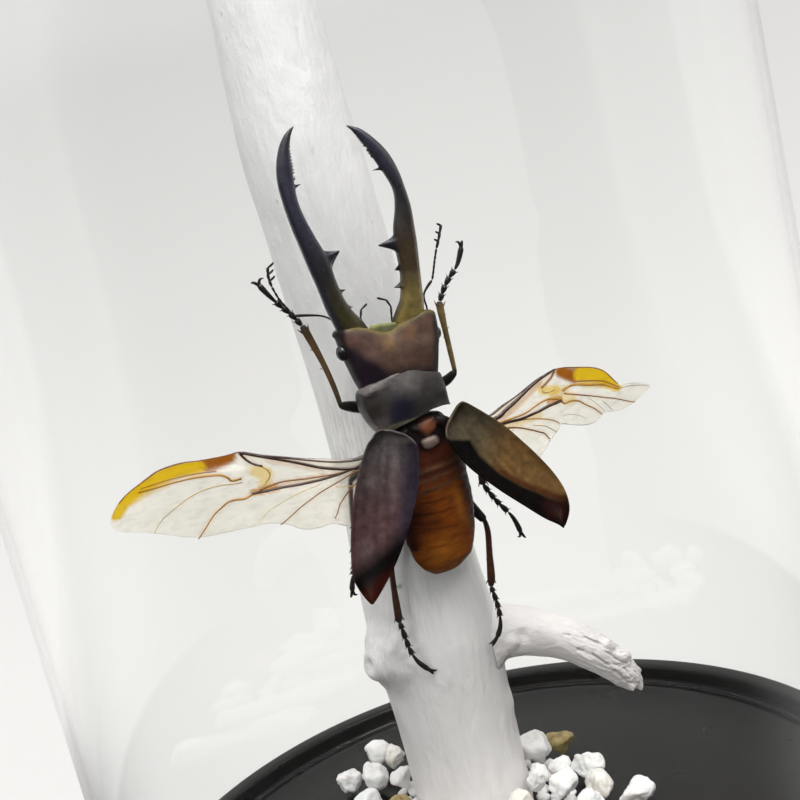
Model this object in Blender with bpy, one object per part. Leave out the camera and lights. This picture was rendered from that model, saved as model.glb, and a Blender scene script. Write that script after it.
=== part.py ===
"""A dried stag beetle in flight pose on a white branch, on a round black base under a glass dome.

Every shape is drawn in millimetres and turned into metres when its object is made. The origin is
the centre of the base's underside, +Z is up and the beetle's back faces -Y. The beetle is drawn
in a frame of its own: x to its right, y through the body from back (-) to belly (+), z to its head.
"""
import math
import random

import bmesh
import bpy
from mathutils import Matrix, Vector

# Driving dimensions, in millimetres
MM = 0.001
GAP = 0.35
BASE_RADIUS = 84.0
BASE_HEIGHT = 18.0
DECK_HEIGHT = 14.5
DECK_RADIUS = 79.0
DOME_RADIUS = 76.5
DOME_WALL = 2.5
DOME_SHOULDER = 168.0
DOME_TOP = 248.0
BRANCH_TOP = 212.0
BRANCH_X = -4.7
BRANCH_Y = 20.0
BEETLE_PLACE = (1.4, 0.5, 109.1)
BEETLE_ROLL = 17.0
BEETLE_LEAN = -3.5

# The trunk from foot to sawn top: height, x of the centre, radius
TRUNK = [
    (DECK_HEIGHT + GAP, -4.7, 12.9),
    (32.0, -4.7, 12.8),
    (46.0, -4.7, 13.2),
    (57.0, -4.6, 14.0),
    (66.0, -4.8, 13.6),
    (77.0, -5.0, 13.0),
    (98.0, -5.0, 11.8),
    (122.0, -5.6, 11.9),
    (147.0, -6.6, 12.2),
    (167.0, -7.8, 11.9),
    (194.0, -8.2, 10.4),
    (BRANCH_TOP, -9.0, 9.8),
]
# The side limb from the fork to its broken end: x, height, radius
SIDE_LIMB = [
    (10.2, 54.4, 5.9),
    (14.7, 53.5, 5.2),
    (19.6, 51.4, 4.7),
    (24.1, 48.8, 4.4),
    (28.4, 45.0, 4.1),
    (32.0, 41.1, 3.6),
    (34.3, 38.0, 2.9),
    (36.2, 34.4, 1.4),
]

# Beetle, cross sections: z, half width, top, bottom, how far the sides run ahead in z, x of centre
FRONT_TURN = -0.11
PRONOTUM = [
    (0.6, 7.6, -4.6, 3.8, -1.0, -0.3),
    (2.4, 8.8, -5.3, 4.4, -0.8, -0.4),
    (5.2, 9.3, -5.6, 4.6, -0.6, -0.4),
    (8.0, 9.1, -5.4, 4.4, -0.9, -0.4),
    (9.7, 8.6, -4.8, 4.0, -1.0, -0.4),
]
HEAD = [
    (10.2, 8.3, -4.2, 3.6, -1.0, -0.3),
    (12.2, 8.8, -4.9, 3.9, -0.6, -0.1),
    (15.0, 9.7, -4.9, 3.6, 0.2, 0.1),
    (16.6, 10.4, -3.9, 3.2, 1.8, 0.2),
    (17.0, 10.6, -2.6, 2.4, 2.5, 0.2),
]
HIND_BODY = [
    (-0.5, 6.0, -3.2, 3.6, -1.6, 0.3),
    (-2.8, 7.2, -3.4, 4.8, -0.9, 0.3),
    (-6.0, 7.9, -3.4, 5.2, 0.0, 0.3),
    (-12.0, 8.0, -3.2, 5.0, 0.0, 0.0),
    (-18.0, 7.9, -2.6, 4.6, 0.0, -0.3),
    (-23.0, 7.3, -1.8, 4.2, 0.0, -1.0),
    (-27.5, 5.8, -0.9, 3.6, 0.0, -1.6),
    (-30.6, 3.4, 0.0, 2.8, 0.0, -1.9),
    (-31.9, 1.2, 0.9, 2.0, 0.0, -2.0),
]
# Mandibles, cross sections: z, outer x, inner x (far in at each tooth), thickness
MANDIBLE_MIDDLE = -1.5
MANDIBLE_LEFT = [
    (20.8, -9.4, -3.3, 4.4),
    (23.0, -10.0, -4.9, 4.3),
    (27.2, -10.5, -6.5, 3.9),
    (28.3, -10.6, -5.5, 3.6),
    (29.6, -10.7, -6.8, 3.7),
    (33.4, -11.0, -6.7, 3.6),
    (35.0, -11.2, -4.4, 3.0),
    (36.4, -11.4, -7.1, 3.4),
    (42.0, -12.0, -8.8, 3.0),
    (47.6, -12.1, -8.9, 2.7),
    (48.9, -12.0, -7.7, 2.3),
    (50.2, -11.8, -8.6, 2.4),
    (54.5, -10.4, -7.7, 2.0),
    (57.6, -8.2, -7.0, 1.4),
    (59.2, -5.9, -5.4, 0.6),
]
MANDIBLE_RIGHT = [
    (20.5, 9.2, 3.0, 4.4),
    (22.5, 9.3, 4.5, 4.3),
    (26.4, 9.6, 5.3, 3.9),
    (28.0, 9.8, 4.2, 3.6),
    (29.4, 10.0, 5.6, 3.7),
    (32.4, 10.4, 5.7, 3.6),
    (33.9, 10.8, 3.0, 3.0),
    (35.3, 11.0, 6.5, 3.4),
    (39.8, 11.4, 8.2, 3.0),
    (45.6, 11.0, 8.5, 2.7),
    (47.4, 10.8, 6.6, 2.3),
    (49.0, 10.2, 7.4, 2.4),
    (52.3, 8.6, 6.1, 2.0),
    (54.9, 6.6, 5.0, 1.4),
    (56.7, 4.0, 3.5, 0.6),
]
# Wing cases: distance from the hinge, width on the outer side, width on the inner side
ELYTRON_OUTLINE = [
    (0.0, 2.6, 1.2),
    (2.6, 6.4, 3.1),
    (7.0, 7.1, 4.6),
    (12.5, 6.8, 5.3),
    (17.9, 5.9, 5.4),
    (23.4, 4.2, 5.0),
    (27.8, 2.5, 4.0),
    (30.9, 1.0, 2.0),
    (32.0, 0.4, 0.4),
]
ELYTRON_LENGTH = ELYTRON_OUTLINE[-1][0]
ELYTRON_CROWN = 2.6
ELYTRON_THICKNESS = 0.5
ELYTRON_LEFT = {"hinge": (-7.9, -5.4, 0.5), "tip": (-20.9, -10.3, -27.7), "faces": (-0.30, -0.93, 0.15)}
ELYTRON_RIGHT = {"hinge": (7.0, -5.4, 0.4), "tip": (19.8, -10.3, -28.5), "faces": (0.28, -0.93, 0.15)}
# Flight wings: a flat membrane that drops to the belly side as it leaves the body
WING_ROOT_Y = -1.0
WING_DROP = 0.15
WING_THICKNESS = 0.3
WING_LEFT = [
    (-8.6, -3.0), (-14.0, -2.6), (-21.3, -0.5), (-26.9, 2.5), (-32.5, 4.9), (-42.4, 6.6),
    (-51.4, 5.7), (-58.4, 2.4), (-59.6, 0.9), (-58.9, -1.2), (-50.8, -5.4), (-40.8, -8.7),
    (-37.3, -8.7), (-29.5, -11.4), (-24.2, -13.9), (-17.0, -15.2), (-8.8, -9.0),
]
WING_RIGHT = [
    (8.8, -6.0), (15.9, -5.2), (20.9, -4.1), (26.9, -2.3), (32.7, -1.6), (39.0, -3.4),
    (46.0, -7.3), (47.0, -9.9), (54.4, -12.6), (53.6, -14.3), (44.5, -15.2), (37.3, -15.2),
    (31.3, -12.8), (26.8, -15.0), (22.0, -17.0), (14.0, -15.0), (8.9, -9.5),
]
# Limbs, from root to tip: x, y, z, radius
LIMBS = {
    "leg_front_left": [
        (-4.5, 5.8, 3.0, 1.2), (-8.2, 4.8, 4.8, 1.1), (-10.4, 3.2, 6.2, 0.9), (-12.0, 2.1, 7.6, 0.8),
        (-12.7, 2.0, 11.5, 0.6), (-14.3, 2.0, 22.4, 0.7), (-14.8, 2.0, 23.6, 0.35),
        (-17.7, 2.0, 29.9, 0.35), (-19.8, 2.0, 32.6, 0.45), (-19.9, 2.0, 34.0, 0.15),
    ],
    "leg_front_right": [
        (4.4, 5.8, 1.6, 1.2), (8.3, 4.6, 2.6, 1.1), (10.2, 2.8, 4.0, 0.9), (11.6, 2.0, 5.4, 0.8),
        (12.0, 2.0, 8.6, 0.6), (12.8, 2.0, 19.0, 0.7), (13.3, 2.0, 20.0, 0.35),
        (15.1, 2.0, 23.5, 0.35), (17.7, 2.0, 24.9, 0.35), (20.0, 2.0, 27.9, 0.4), (19.6, 2.0, 29.3, 0.15),
    ],
    "leg_middle_left": [
        (-4.6, 6.2, -4.6, 1.1), (-9.5, 5.4, -6.0, 1.0), (-13.6, 4.2, -7.6, 0.8), (-15.4, 3.8, -12.0, 0.6),
        (-17.5, 3.4, -19.5, 0.7), (-18.4, 3.2, -21.4, 0.35), (-20.6, 3.0, -26.4, 0.35),
        (-20.9, 3.0, -28.8, 0.2),
    ],
    "leg_middle_right": [
        (4.9, 6.2, -4.6, 1.1), (9.6, 5.4, -5.6, 1.0), (13.6, 4.2, -7.0, 0.8), (13.2, 3.8, -11.5, 0.6),
        (11.7, 3.2, -17.4, 0.7), (12.1, 3.0, -19.6, 0.35), (15.8, 3.0, -27.6, 0.35),
        (16.8, 3.0, -29.6, 0.4), (16.2, 3.0, -31.2, 0.15),
    ],
    "leg_hind_left": [
        (-4.4, 6.3, -11.6, 1.1), (-7.4, 6.0, -17.0, 1.0), (-10.4, 5.2, -24.0, 0.8), (-11.5, 5.4, -28.0, 0.6),
        (-13.2, 6.9, -40.4, 0.7), (-13.2, 7.3, -42.4, 0.35), (-12.9, 7.6, -48.6, 0.35),
        (-11.4, 7.2, -53.2, 0.4), (-9.4, 6.9, -54.8, 0.15),
    ],
    "leg_hind_right": [
        (4.2, 6.3, -11.6, 1.1), (6.8, 5.9, -17.5, 1.0), (8.9, 4.6, -23.6, 0.9), (10.1, 4.1, -26.6, 0.7),
        (9.8, 4.6, -30.4, 0.6), (8.4, 6.2, -40.8, 0.7), (8.1, 6.4, -43.0, 0.35),
        (8.1, 6.6, -46.8, 0.35), (5.2, 6.6, -52.0, 0.4), (3.1, 6.4, -52.8, 0.15),
    ],
    "antenna_left": [
        (-9.8, 2.2, 21.2, 0.3), (-10.8, 1.9, 23.6, 0.25), (-13.4, 1.4, 25.5, 0.25), (-16.2, 1.0, 26.6, 0.25),
        (-17.0, 1.0, 29.0, 0.25), (-17.8, 1.0, 32.4, 0.35), (-18.0, 1.0, 34.0, 0.6), (-17.7, 1.0, 36.2, 0.3),
    ],
    "antenna_right": [
        (9.9, 2.2, 19.6, 0.3), (9.8, 1.6, 21.4, 0.25), (10.5, 1.2, 22.9, 0.25), (12.6, 1.0, 24.4, 0.25),
        (13.7, 1.0, 26.2, 0.25), (15.2, 1.0, 29.2, 0.35), (16.0, 1.0, 31.0, 0.6), (17.3, 1.0, 33.6, 0.3),
    ],
    "palp_left": [(-3.9, 2.0, 19.6, 0.3), (-3.8, 2.0, 21.6, 0.28), (-2.9, 1.8, 23.2, 0.25), (-1.8, 1.6, 24.0, 0.2)],
    "palp_right": [(2.3, 2.0, 19.4, 0.3), (2.3, 2.0, 21.8, 0.28), (1.7, 1.8, 23.4, 0.25), (0.3, 1.6, 24.3, 0.2)],
}

# Pebbles at the heap's right and left: x, y, height of the middle, width, depth, tallness
WHITE_PEBBLES = [
    (11.3, 28.5, 22.5, 8.6, 7.6, 7.4),
    (15.3, 18.6, 20.9, 5.8, 5.6, 5.0),
    (21.7, 22.6, 18.1, 8.5, 7.4, 6.0),
    (14.7, 8.6, 22.5, 7.3, 7.0, 6.5),
    (22.3, 12.4, 18.5, 7.0, 7.0, 7.0),
    (9.7, 12.7, 23.6, 5.7, 5.6, 7.0),
    (18.9, 3.0, 20.3, 6.8, 6.6, 6.2),
    (29.2, 5.2, 18.7, 8.8, 6.4, 7.4),
    (-33.4, 41.3, 18.1, 6.6, 6.2, 6.2),
    (-25.7, 50.1, 18.8, 7.6, 7.4, 7.6),
    (-27.0, 38.4, 18.9, 7.0, 7.4, 7.4),
    (-21.6, 43.3, 20.2, 5.2, 5.6, 6.2),
    (-20.6, 32.2, 20.3, 6.0, 7.2, 6.8),
    (-29.1, 27.6, 18.6, 7.8, 7.2, 7.0),
]
OCHRE_PEBBLES = [
    (17.6, 34.2, 18.4, 8.0, 7.0, 6.6),
    (26.5, -2.2, 18.5, 7.0, 6.4, 6.4),
    (-21.0, 20.0, 20.6, 6.4, 6.4, 6.2),
]
# Rings of pebbles all round the trunk: distance from its axis, height, how many places, first angle
PEBBLE_RINGS = [
    (17.4, 22.4, 12, 4.0),
    (26.8, 18.8, 17, 4.0),
]
RING_PEBBLE_SIZE = 7.6
OCHRE_IN_RINGS = {3, 9, 14}
PEBBLE_SEED = 7


def clear_scene():
    for obj in list(bpy.data.objects):
        bpy.data.objects.remove(obj, do_unlink=True)


def finish(name, colour, roughness, metallic=0.0, transmission=0.0):
    """Make the plain material of one sub-part."""
    material = bpy.data.materials.new(name)
    material.use_nodes = True
    shader = material.node_tree.nodes["Principled BSDF"]
    shader.inputs["Base Color"].default_value = (*colour, 1.0)
    shader.inputs["Roughness"].default_value = roughness
    shader.inputs["Metallic"].default_value = metallic
    shader.inputs["Transmission Weight"].default_value = transmission
    return material


def make_object(name, bm, material, place=None, sharp_from=50.0):
    """Turn a closed shape drawn in millimetres into a named object in metres."""
    bmesh.ops.recalc_face_normals(bm, faces=bm.faces)
    bm.transform(Matrix.Scale(MM, 4) @ (place or Matrix()))
    mesh = bpy.data.meshes.new(name)
    bm.to_mesh(mesh)
    bm.free()
    mesh.shade_smooth()
    mesh.set_sharp_from_angle(angle=math.radians(sharp_from))
    mesh.materials.append(material)
    obj = bpy.data.objects.new(name, mesh)
    bpy.context.scene.collection.objects.link(obj)
    return obj


def loft(rings):
    """Join rings of points into one closed skin, each end closed by a fan."""
    bm = bmesh.new()
    loops = [[bm.verts.new(point) for point in ring] for ring in rings]
    for lower, upper in zip(loops, loops[1:]):
        for i in range(len(lower)):
            j = (i + 1) % len(lower)
            bm.faces.new((lower[i], lower[j], upper[j], upper[i]))
    for loop in (loops[0], loops[-1]):
        middle = bm.verts.new(sum((vert.co for vert in loop), Vector()) / len(loop))
        for i, vert in enumerate(loop):
            bm.faces.new((vert, loop[(i + 1) % len(loop)], middle))
    return bm


def turn(profile, segments):
    """Spin a closed profile of (radius, height) points round the Z axis."""
    bm = bmesh.new()
    verts = [bm.verts.new((radius, 0.0, height)) for radius, height in profile]
    edges = [bm.edges.new((a, b)) for a, b in zip(verts, verts[1:])]
    bmesh.ops.spin(bm, geom=verts + edges, cent=(0, 0, 0), axis=(0, 0, 1),
                   angle=math.tau, steps=segments, use_merge=True)
    bmesh.ops.remove_doubles(bm, verts=bm.verts, dist=0.001)
    return bm


def beetle_frame():
    return (Matrix.Translation(BEETLE_PLACE)
            @ Matrix.Rotation(math.radians(BEETLE_ROLL), 4, "Z")
            @ Matrix.Rotation(math.radians(BEETLE_LEAN), 4, "Y"))


def make_base(material):
    profile = [
        (0.0, 0.0), (BASE_RADIUS - 2.5, 0.0), (BASE_RADIUS - 0.8, 0.8), (BASE_RADIUS, 2.6),
        (BASE_RADIUS, BASE_HEIGHT - 2.4), (BASE_RADIUS - 0.7, BASE_HEIGHT - 0.8),
        (BASE_RADIUS - 2.0, BASE_HEIGHT), (DECK_RADIUS + 1.6, BASE_HEIGHT - 0.2),
        (DECK_RADIUS + 0.4, BASE_HEIGHT - 1.0), (DECK_RADIUS, BASE_HEIGHT - 2.0),
        (DECK_RADIUS, DECK_HEIGHT), (0.0, DECK_HEIGHT),
    ]
    make_object("base", turn(profile, 56), material)


def make_dome(material):
    """A bell of even wall: straight side, rounded top, and an open foot that stands on the deck."""
    foot = DECK_HEIGHT + GAP
    outer = [(DOME_RADIUS, foot), (DOME_RADIUS, DOME_SHOULDER)]
    inner_radius = DOME_RADIUS - DOME_WALL
    inner = [(inner_radius, foot), (inner_radius, DOME_SHOULDER)]
    steps = 7
    for i in range(1, steps + 1):
        angle = math.radians(90.0 * i / steps)
        rise = DOME_TOP - DOME_SHOULDER
        outer.append((DOME_RADIUS * math.cos(angle), DOME_SHOULDER + rise * math.sin(angle)))
        inner.append((inner_radius * math.cos(angle),
                      DOME_SHOULDER + (rise - DOME_WALL) * math.sin(angle)))
    profile = list(reversed(inner)) + outer
    make_object("dome", turn(profile, 40), material, sharp_from=60.0)


def make_trunk(material):
    sides = 20
    rings = []
    for height, middle_x, radius in TRUNK:
        ring = []
        for i in range(sides):
            angle = math.tau * i / sides
            ring.append((middle_x + radius * math.cos(angle), BRANCH_Y + radius * math.sin(angle), height))
        rings.append(ring)
    make_object("branch_trunk", loft(rings), material)


def make_side_limb(material):
    """A short broken limb that leaves the trunk to the right and droops to a chisel end."""
    sides = 12
    rings = []
    for i, (x, height, radius) in enumerate(SIDE_LIMB):
        before = SIDE_LIMB[max(i - 1, 0)]
        after = SIDE_LIMB[min(i + 1, len(SIDE_LIMB) - 1)]
        along = Vector((after[0] - before[0], 0.0, after[1] - before[1])).normalized()
        if i == 0:
            along = Vector((1.0, 0.0, 0.0))
        across = Vector((0.0, 1.0, 0.0))
        up = across.cross(along)
        middle = Vector((x, BRANCH_Y, height))
        ring = []
        for j in range(sides):
            angle = math.tau * j / sides
            ring.append(middle + radius * (math.cos(angle) * across + math.sin(angle) * up))
        rings.append(ring)
    make_object("side_limb", loft(rings), material)


def body_rings(sections, sides=18, turned=0.0):
    """Oval rings across the beetle; the sides of each may run ahead of or behind its middle."""
    rings = []
    for z, half_width, top, bottom, ahead, middle_x in sections:
        middle_y = (top + bottom) / 2
        half_depth = (bottom - top) / 2
        ring = []
        for i in range(sides):
            angle = math.tau * i / sides
            across = math.cos(angle)
            ring.append((middle_x + half_width * across, middle_y + half_depth * math.sin(angle),
                         z + ahead * across * across + turned * half_width * across))
        rings.append(ring)
    return rings


def mandible_rings(sections, sides=8):
    rings = []
    for z, outer_x, inner_x, thickness in sections:
        ring = []
        for i in range(sides):
            angle = math.tau * i / sides
            ring.append(((outer_x + inner_x) / 2 + (outer_x - inner_x) / 2 * math.cos(angle),
                         MANDIBLE_MIDDLE + thickness / 2 * math.sin(angle), z))
        rings.append(ring)
    return rings


def limb_rings(path, sides=6):
    """Rings square to the limb's path, so that each joint is mitred."""
    points = [Vector(station[:3]) for station in path]
    rings = []
    for i, station in enumerate(path):
        along = (points[min(i + 1, len(points) - 1)] - points[max(i - 1, 0)]).normalized()
        across = along.cross(Vector((0.0, 1.0, 0.0))).normalized()
        up = across.cross(along)
        ring = []
        for j in range(sides):
            angle = math.tau * j / sides
            ring.append(points[i] + station[3] * (math.cos(angle) * across + math.sin(angle) * up))
        rings.append(ring)
    return rings


def make_elytron(name, pose, side, material):
    """A crowned wing case, thickened from its outer face inwards."""
    hinge = Vector(pose["hinge"])
    along = (Vector(pose["tip"]) - hinge).normalized()
    outward = along.cross(Vector(pose["faces"])).normalized() * side
    face = along.cross(outward).normalized() * side * -1.0
    steps = 8
    bm = bmesh.new()
    rows = []
    for distance, outer_width, inner_width in ELYTRON_OUTLINE:
        lengthwise = 1.2 * math.sin(math.pi * distance / ELYTRON_LENGTH)
        row = []
        for i in range(steps + 1):
            across = -1.0 + 2.0 * i / steps
            width = outer_width if across > 0 else inner_width
            crown = ELYTRON_CROWN * min(1.0, width / 4.0) * (1.0 - across * across)
            point = hinge + along * distance + outward * across * width + face * (crown + lengthwise)
            row.append(bm.verts.new(point))
        rows.append(row)
    for low, high in zip(rows, rows[1:]):
        for i in range(steps):
            corners = (low[i], low[i + 1], high[i + 1], high[i])
            bm.faces.new(corners if side > 0 else tuple(reversed(corners)))
    bm.transform(Matrix.Scale(MM, 4) @ beetle_frame())
    mesh = bpy.data.meshes.new(name)
    bm.to_mesh(mesh)
    bm.free()
    mesh.shade_smooth()
    mesh.materials.append(material)
    obj = bpy.data.objects.new(name, mesh)
    bpy.context.scene.collection.objects.link(obj)
    wall = obj.modifiers.new("wall", "SOLIDIFY")
    wall.thickness = ELYTRON_THICKNESS * MM
    wall.offset = 0.0


def make_wing(name, outline, material):
    bm = bmesh.new()
    bottom = []
    top = []
    for x, z in outline:
        y = WING_ROOT_Y + WING_DROP * (abs(x) - 8.0)
        bottom.append(bm.verts.new((x, y - WING_THICKNESS / 2, z)))
        top.append(bm.verts.new((x, y + WING_THICKNESS / 2, z)))
    bm.faces.new(bottom)
    bm.faces.new(list(reversed(top)))
    for i in range(len(outline)):
        j = (i + 1) % len(outline)
        bm.faces.new((bottom[i], top[i], top[j], bottom[j]))
    make_object(name, bm, material, beetle_frame())


def make_glue_bead(material):
    """The hidden bead of adhesive that holds the thorax off the trunk."""
    place = beetle_frame()
    rings = []
    for y in (5.75, 8.2):
        rings.append([(0.1 + 2.3 * math.cos(math.tau * i / 12), y, -6.5 + 2.3 * math.sin(math.tau * i / 12))
                      for i in range(12)])
    make_object("glue_bead", loft(rings), material, place)


def make_pebble(name, middle, size, dice, material):
    bm = bmesh.new()
    bmesh.ops.create_icosphere(bm, subdivisions=2, radius=0.5)
    for vert in bm.verts:
        vert.co *= dice.uniform(0.88, 1.0)
    make_object(name, bm, material, Matrix.Translation(middle) @ Matrix.Diagonal((*size, 1.0)), sharp_from=80.0)


def ring_places(taken, dice):
    """Places for the pebbles all round the trunk, leaving out those that would touch one in taken."""
    found = []
    for distance, height, count, first in PEBBLE_RINGS:
        for i in range(count):
            angle = math.radians(first + 360.0 * i / count)
            size = RING_PEBBLE_SIZE * dice.uniform(0.86, 1.0)
            middle = Vector((BRANCH_X + distance * math.cos(angle), BRANCH_Y + distance * math.sin(angle), height))
            clear = all((middle - other).length > (size + other_size) / 2 for other, other_size in taken)
            if clear:
                taken.append((middle, size))
                found.append((*middle, size, size, size * 0.9))
    return found


def make_pebbles(white, ochre):
    dice = random.Random(PEBBLE_SEED)
    seen = WHITE_PEBBLES + OCHRE_PEBBLES
    taken = [(Vector(row[:3]), max(row[3:])) for row in seen]
    rings = ring_places(taken, dice)
    white_rows = WHITE_PEBBLES + [row for i, row in enumerate(rings) if i not in OCHRE_IN_RINGS]
    ochre_rows = OCHRE_PEBBLES + [row for i, row in enumerate(rings) if i in OCHRE_IN_RINGS]
    for kind, rows, material in (("white", white_rows, white), ("ochre", ochre_rows, ochre)):
        for number, row in enumerate(rows, 1):
            make_pebble("pebble_%s_%02d" % (kind, number), Vector(row[:3]), row[3:], dice, material)


def make_pebble_bed(material):
    """The small pebbles under and between the larger ones, as one ring round the foot of the trunk."""
    foot = DECK_HEIGHT + GAP
    inner = TRUNK[0][2] + GAP
    profile = [(inner, foot), (22.4, foot), (21.8, 15.7), (18.4, 16.4), (inner, 17.0), (inner, foot)]
    place = Matrix.Translation((BRANCH_X, BRANCH_Y, 0.0))
    make_object("pebble_bed", turn(profile, 28), material, place)


def build():
    clear_scene()
    black = finish("black_lacquer", (0.012, 0.012, 0.012), 0.12)
    glass = finish("clear_glass", (0.98, 0.99, 0.99), 0.02, transmission=1.0)
    paint = finish("white_paint", (0.82, 0.81, 0.80), 0.45)
    bronze = finish("bronze_cuticle", (0.10, 0.05, 0.03), 0.30, metallic=0.4)
    black_bronze = finish("black_bronze_cuticle", (0.03, 0.025, 0.03), 0.28, metallic=0.3)
    plum = finish("plum_cuticle", (0.05, 0.035, 0.04), 0.35, metallic=0.2)
    amber = finish("amber_cuticle", (0.28, 0.10, 0.02), 0.30)
    black_cuticle = finish("black_cuticle", (0.015, 0.013, 0.012), 0.30)
    membrane = finish("wing_membrane", (0.85, 0.72, 0.45), 0.25)
    glue = finish("clear_glue", (0.80, 0.80, 0.75), 0.30)
    white_stone = finish("white_stone", (0.85, 0.85, 0.84), 0.60)
    ochre_stone = finish("ochre_stone", (0.35, 0.22, 0.05), 0.50)

    make_base(black)
    make_dome(glass)
    make_trunk(paint)
    make_side_limb(paint)
    make_glue_bead(glue)
    make_pebble_bed(white_stone)
    make_pebbles(white_stone, ochre_stone)

    frame = beetle_frame()
    make_object("head", loft(body_rings(HEAD, turned=FRONT_TURN)), bronze, frame)
    make_object("pronotum", loft(body_rings(PRONOTUM, turned=FRONT_TURN)), plum, frame)
    make_object("hind_body", loft(body_rings(HIND_BODY)), amber, frame)
    make_object("mandible_left", loft(mandible_rings(MANDIBLE_LEFT)), black_bronze, frame)
    make_object("mandible_right", loft(mandible_rings(MANDIBLE_RIGHT)), black_bronze, frame)
    make_elytron("elytron_left", ELYTRON_LEFT, -1.0, plum)
    make_elytron("elytron_right", ELYTRON_RIGHT, 1.0, plum)
    make_wing("hind_wing_left", WING_LEFT, membrane)
    make_wing("hind_wing_right", WING_RIGHT, membrane)
    for name, path in LIMBS.items():
        make_object(name, loft(limb_rings(path)), black_cuticle, frame)


build()
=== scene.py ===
"""A dried stag beetle in flight pose on a white branch, on a round black base under a glass dome.

The sections follow the piece as it is put together: the room, the base, the branch, the pebbles,
the beetle from its hind body outwards, and last the dome. Sizes are in millimetres times MM.
The beetle is drawn in its own frame: x to its right, y from its back to its belly, z to its head.
"""
import math
import random

import bmesh
import bpy
from mathutils import Matrix, Vector, noise


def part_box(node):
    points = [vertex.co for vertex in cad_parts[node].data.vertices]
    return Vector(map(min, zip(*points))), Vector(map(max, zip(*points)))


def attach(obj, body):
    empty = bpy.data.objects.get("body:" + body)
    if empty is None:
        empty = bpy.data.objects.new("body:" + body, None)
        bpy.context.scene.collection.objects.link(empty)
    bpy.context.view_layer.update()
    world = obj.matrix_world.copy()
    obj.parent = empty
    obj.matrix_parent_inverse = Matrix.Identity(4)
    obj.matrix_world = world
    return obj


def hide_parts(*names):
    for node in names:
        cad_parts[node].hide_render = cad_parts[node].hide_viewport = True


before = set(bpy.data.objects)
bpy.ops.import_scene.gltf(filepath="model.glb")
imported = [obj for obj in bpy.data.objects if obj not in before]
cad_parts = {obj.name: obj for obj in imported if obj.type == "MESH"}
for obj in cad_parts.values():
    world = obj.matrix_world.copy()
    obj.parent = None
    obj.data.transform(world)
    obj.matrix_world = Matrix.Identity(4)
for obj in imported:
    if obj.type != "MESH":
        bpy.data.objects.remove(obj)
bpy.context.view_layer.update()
MM = 0.001


# --------
# The room: a pale sheet of card that rises into a wall far behind, a bright soft surround and
# one large lamp above. The camera stands a hand's width from the dome, tipped down and rolled.
EYE = (0.0, -227.1, 156.0)
EYE_DOWN = 10.63
EYE_ROLL = -13.66
LENS = 54.0
SENSOR = 36.0
CARD_RADIUS = 1.6
CARD_COLOUR = (0.25, 0.245, 0.24)
CARD_WARMTH = (1.0, 0.985, 0.97, 1.0)
CARD_GLOW = 0.62
PAST_THE_GLASS = 0.87
CARD_STEPS = 9
CARD_BEND = 0.9
CARD_WALL = 2.2
LAMP_AIM = Vector((0.0, 0.01, 0.12))


def deselect():
    if bpy.context.mode != "OBJECT":
        bpy.ops.object.mode_set(mode="OBJECT")
    bpy.ops.object.select_all(action="DESELECT")


def rename(name):
    """Name the piece just added, and its mesh."""
    piece = bpy.context.object
    piece.name = name
    piece.data.name = name
    return piece


def pick_up(piece):
    """Make a piece the only selected and active one."""
    deselect()
    piece.select_set(True)
    bpy.context.view_layer.objects.active = piece


def open_up(piece):
    """Go into edit mode on a piece, with nothing on it selected."""
    pick_up(piece)
    bpy.ops.object.mode_set(mode="EDIT")
    bpy.ops.mesh.select_mode(type="VERT")
    bpy.ops.mesh.select_all(action="DESELECT")


def close_up():
    bpy.ops.object.mode_set(mode="OBJECT")


def start_shape(name):
    """Name the primitive just added, set its place in its mesh, and take hold of all of it."""
    piece = rename(name)
    bpy.ops.object.transform_apply(location=True)
    bpy.ops.object.mode_set(mode="EDIT")
    bpy.ops.mesh.select_all(action="SELECT")
    return piece


def face_out():
    """In edit mode, turn all faces outwards, and leave edit mode."""
    bpy.ops.mesh.select_all(action="SELECT")
    bpy.ops.mesh.normals_make_consistent(inside=False)
    close_up()


def select_points(piece, wanted):
    """In edit mode, select the points whose place passes the test, and what lies between them."""
    mesh = bmesh.from_edit_mesh(piece.data)
    for point in mesh.verts:
        point.select = wanted(point.co)
    mesh.select_flush(True)
    mesh.select_flush(False)
    bmesh.update_edit_mesh(piece.data)


def select_faces(piece, wanted):
    """In edit mode, select the faces whose middle and normal pass the test."""
    bpy.ops.mesh.select_all(action="DESELECT")
    bpy.ops.mesh.select_mode(type="FACE")
    mesh = bmesh.from_edit_mesh(piece.data)
    for face in mesh.faces:
        face.select = wanted(face.calc_center_median(), face.normal)
    mesh.select_flush_mode()
    bmesh.update_edit_mesh(piece.data)


def use_modifier(piece, kind, **settings):
    """Add a modifier to a piece and apply it."""
    pick_up(piece)
    modifier = piece.modifiers.new(kind.lower(), kind)
    for setting, value in settings.items():
        setattr(modifier, setting, value)
    bpy.ops.object.modifier_apply(modifier=modifier.name)


def smooth_skin(piece, levels=1, edge_angle=None):
    """Subdivide a piece's skin and shade it smooth, with edges sharp past an angle in degrees."""
    if levels:
        use_modifier(piece, "SUBSURF", levels=levels, render_levels=levels)
    pick_up(piece)
    if edge_angle is None:
        bpy.ops.object.shade_smooth()
    else:
        bpy.ops.object.shade_smooth_by_angle(angle=math.radians(edge_angle))


def new_finish(name, colour, roughness, **settings):
    """Start a material. Each setting is a socket of its shader, with _ for a space in its name."""
    material = bpy.data.materials.new(name)
    material.use_nodes = True
    sockets = material.node_tree.nodes["Principled BSDF"].inputs
    sockets["Base Color"].default_value = (*colour, 1.0)
    sockets["Roughness"].default_value = roughness
    for socket, value in settings.items():
        sockets[socket.replace("_", " ")].default_value = value
    return material


def add_node(material, kind, **settings):
    """Add a node to a material, or to the world."""
    node = material.node_tree.nodes.new("ShaderNode" + kind)
    for setting, value in settings.items():
        setattr(node, setting, value)
    return node


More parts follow.
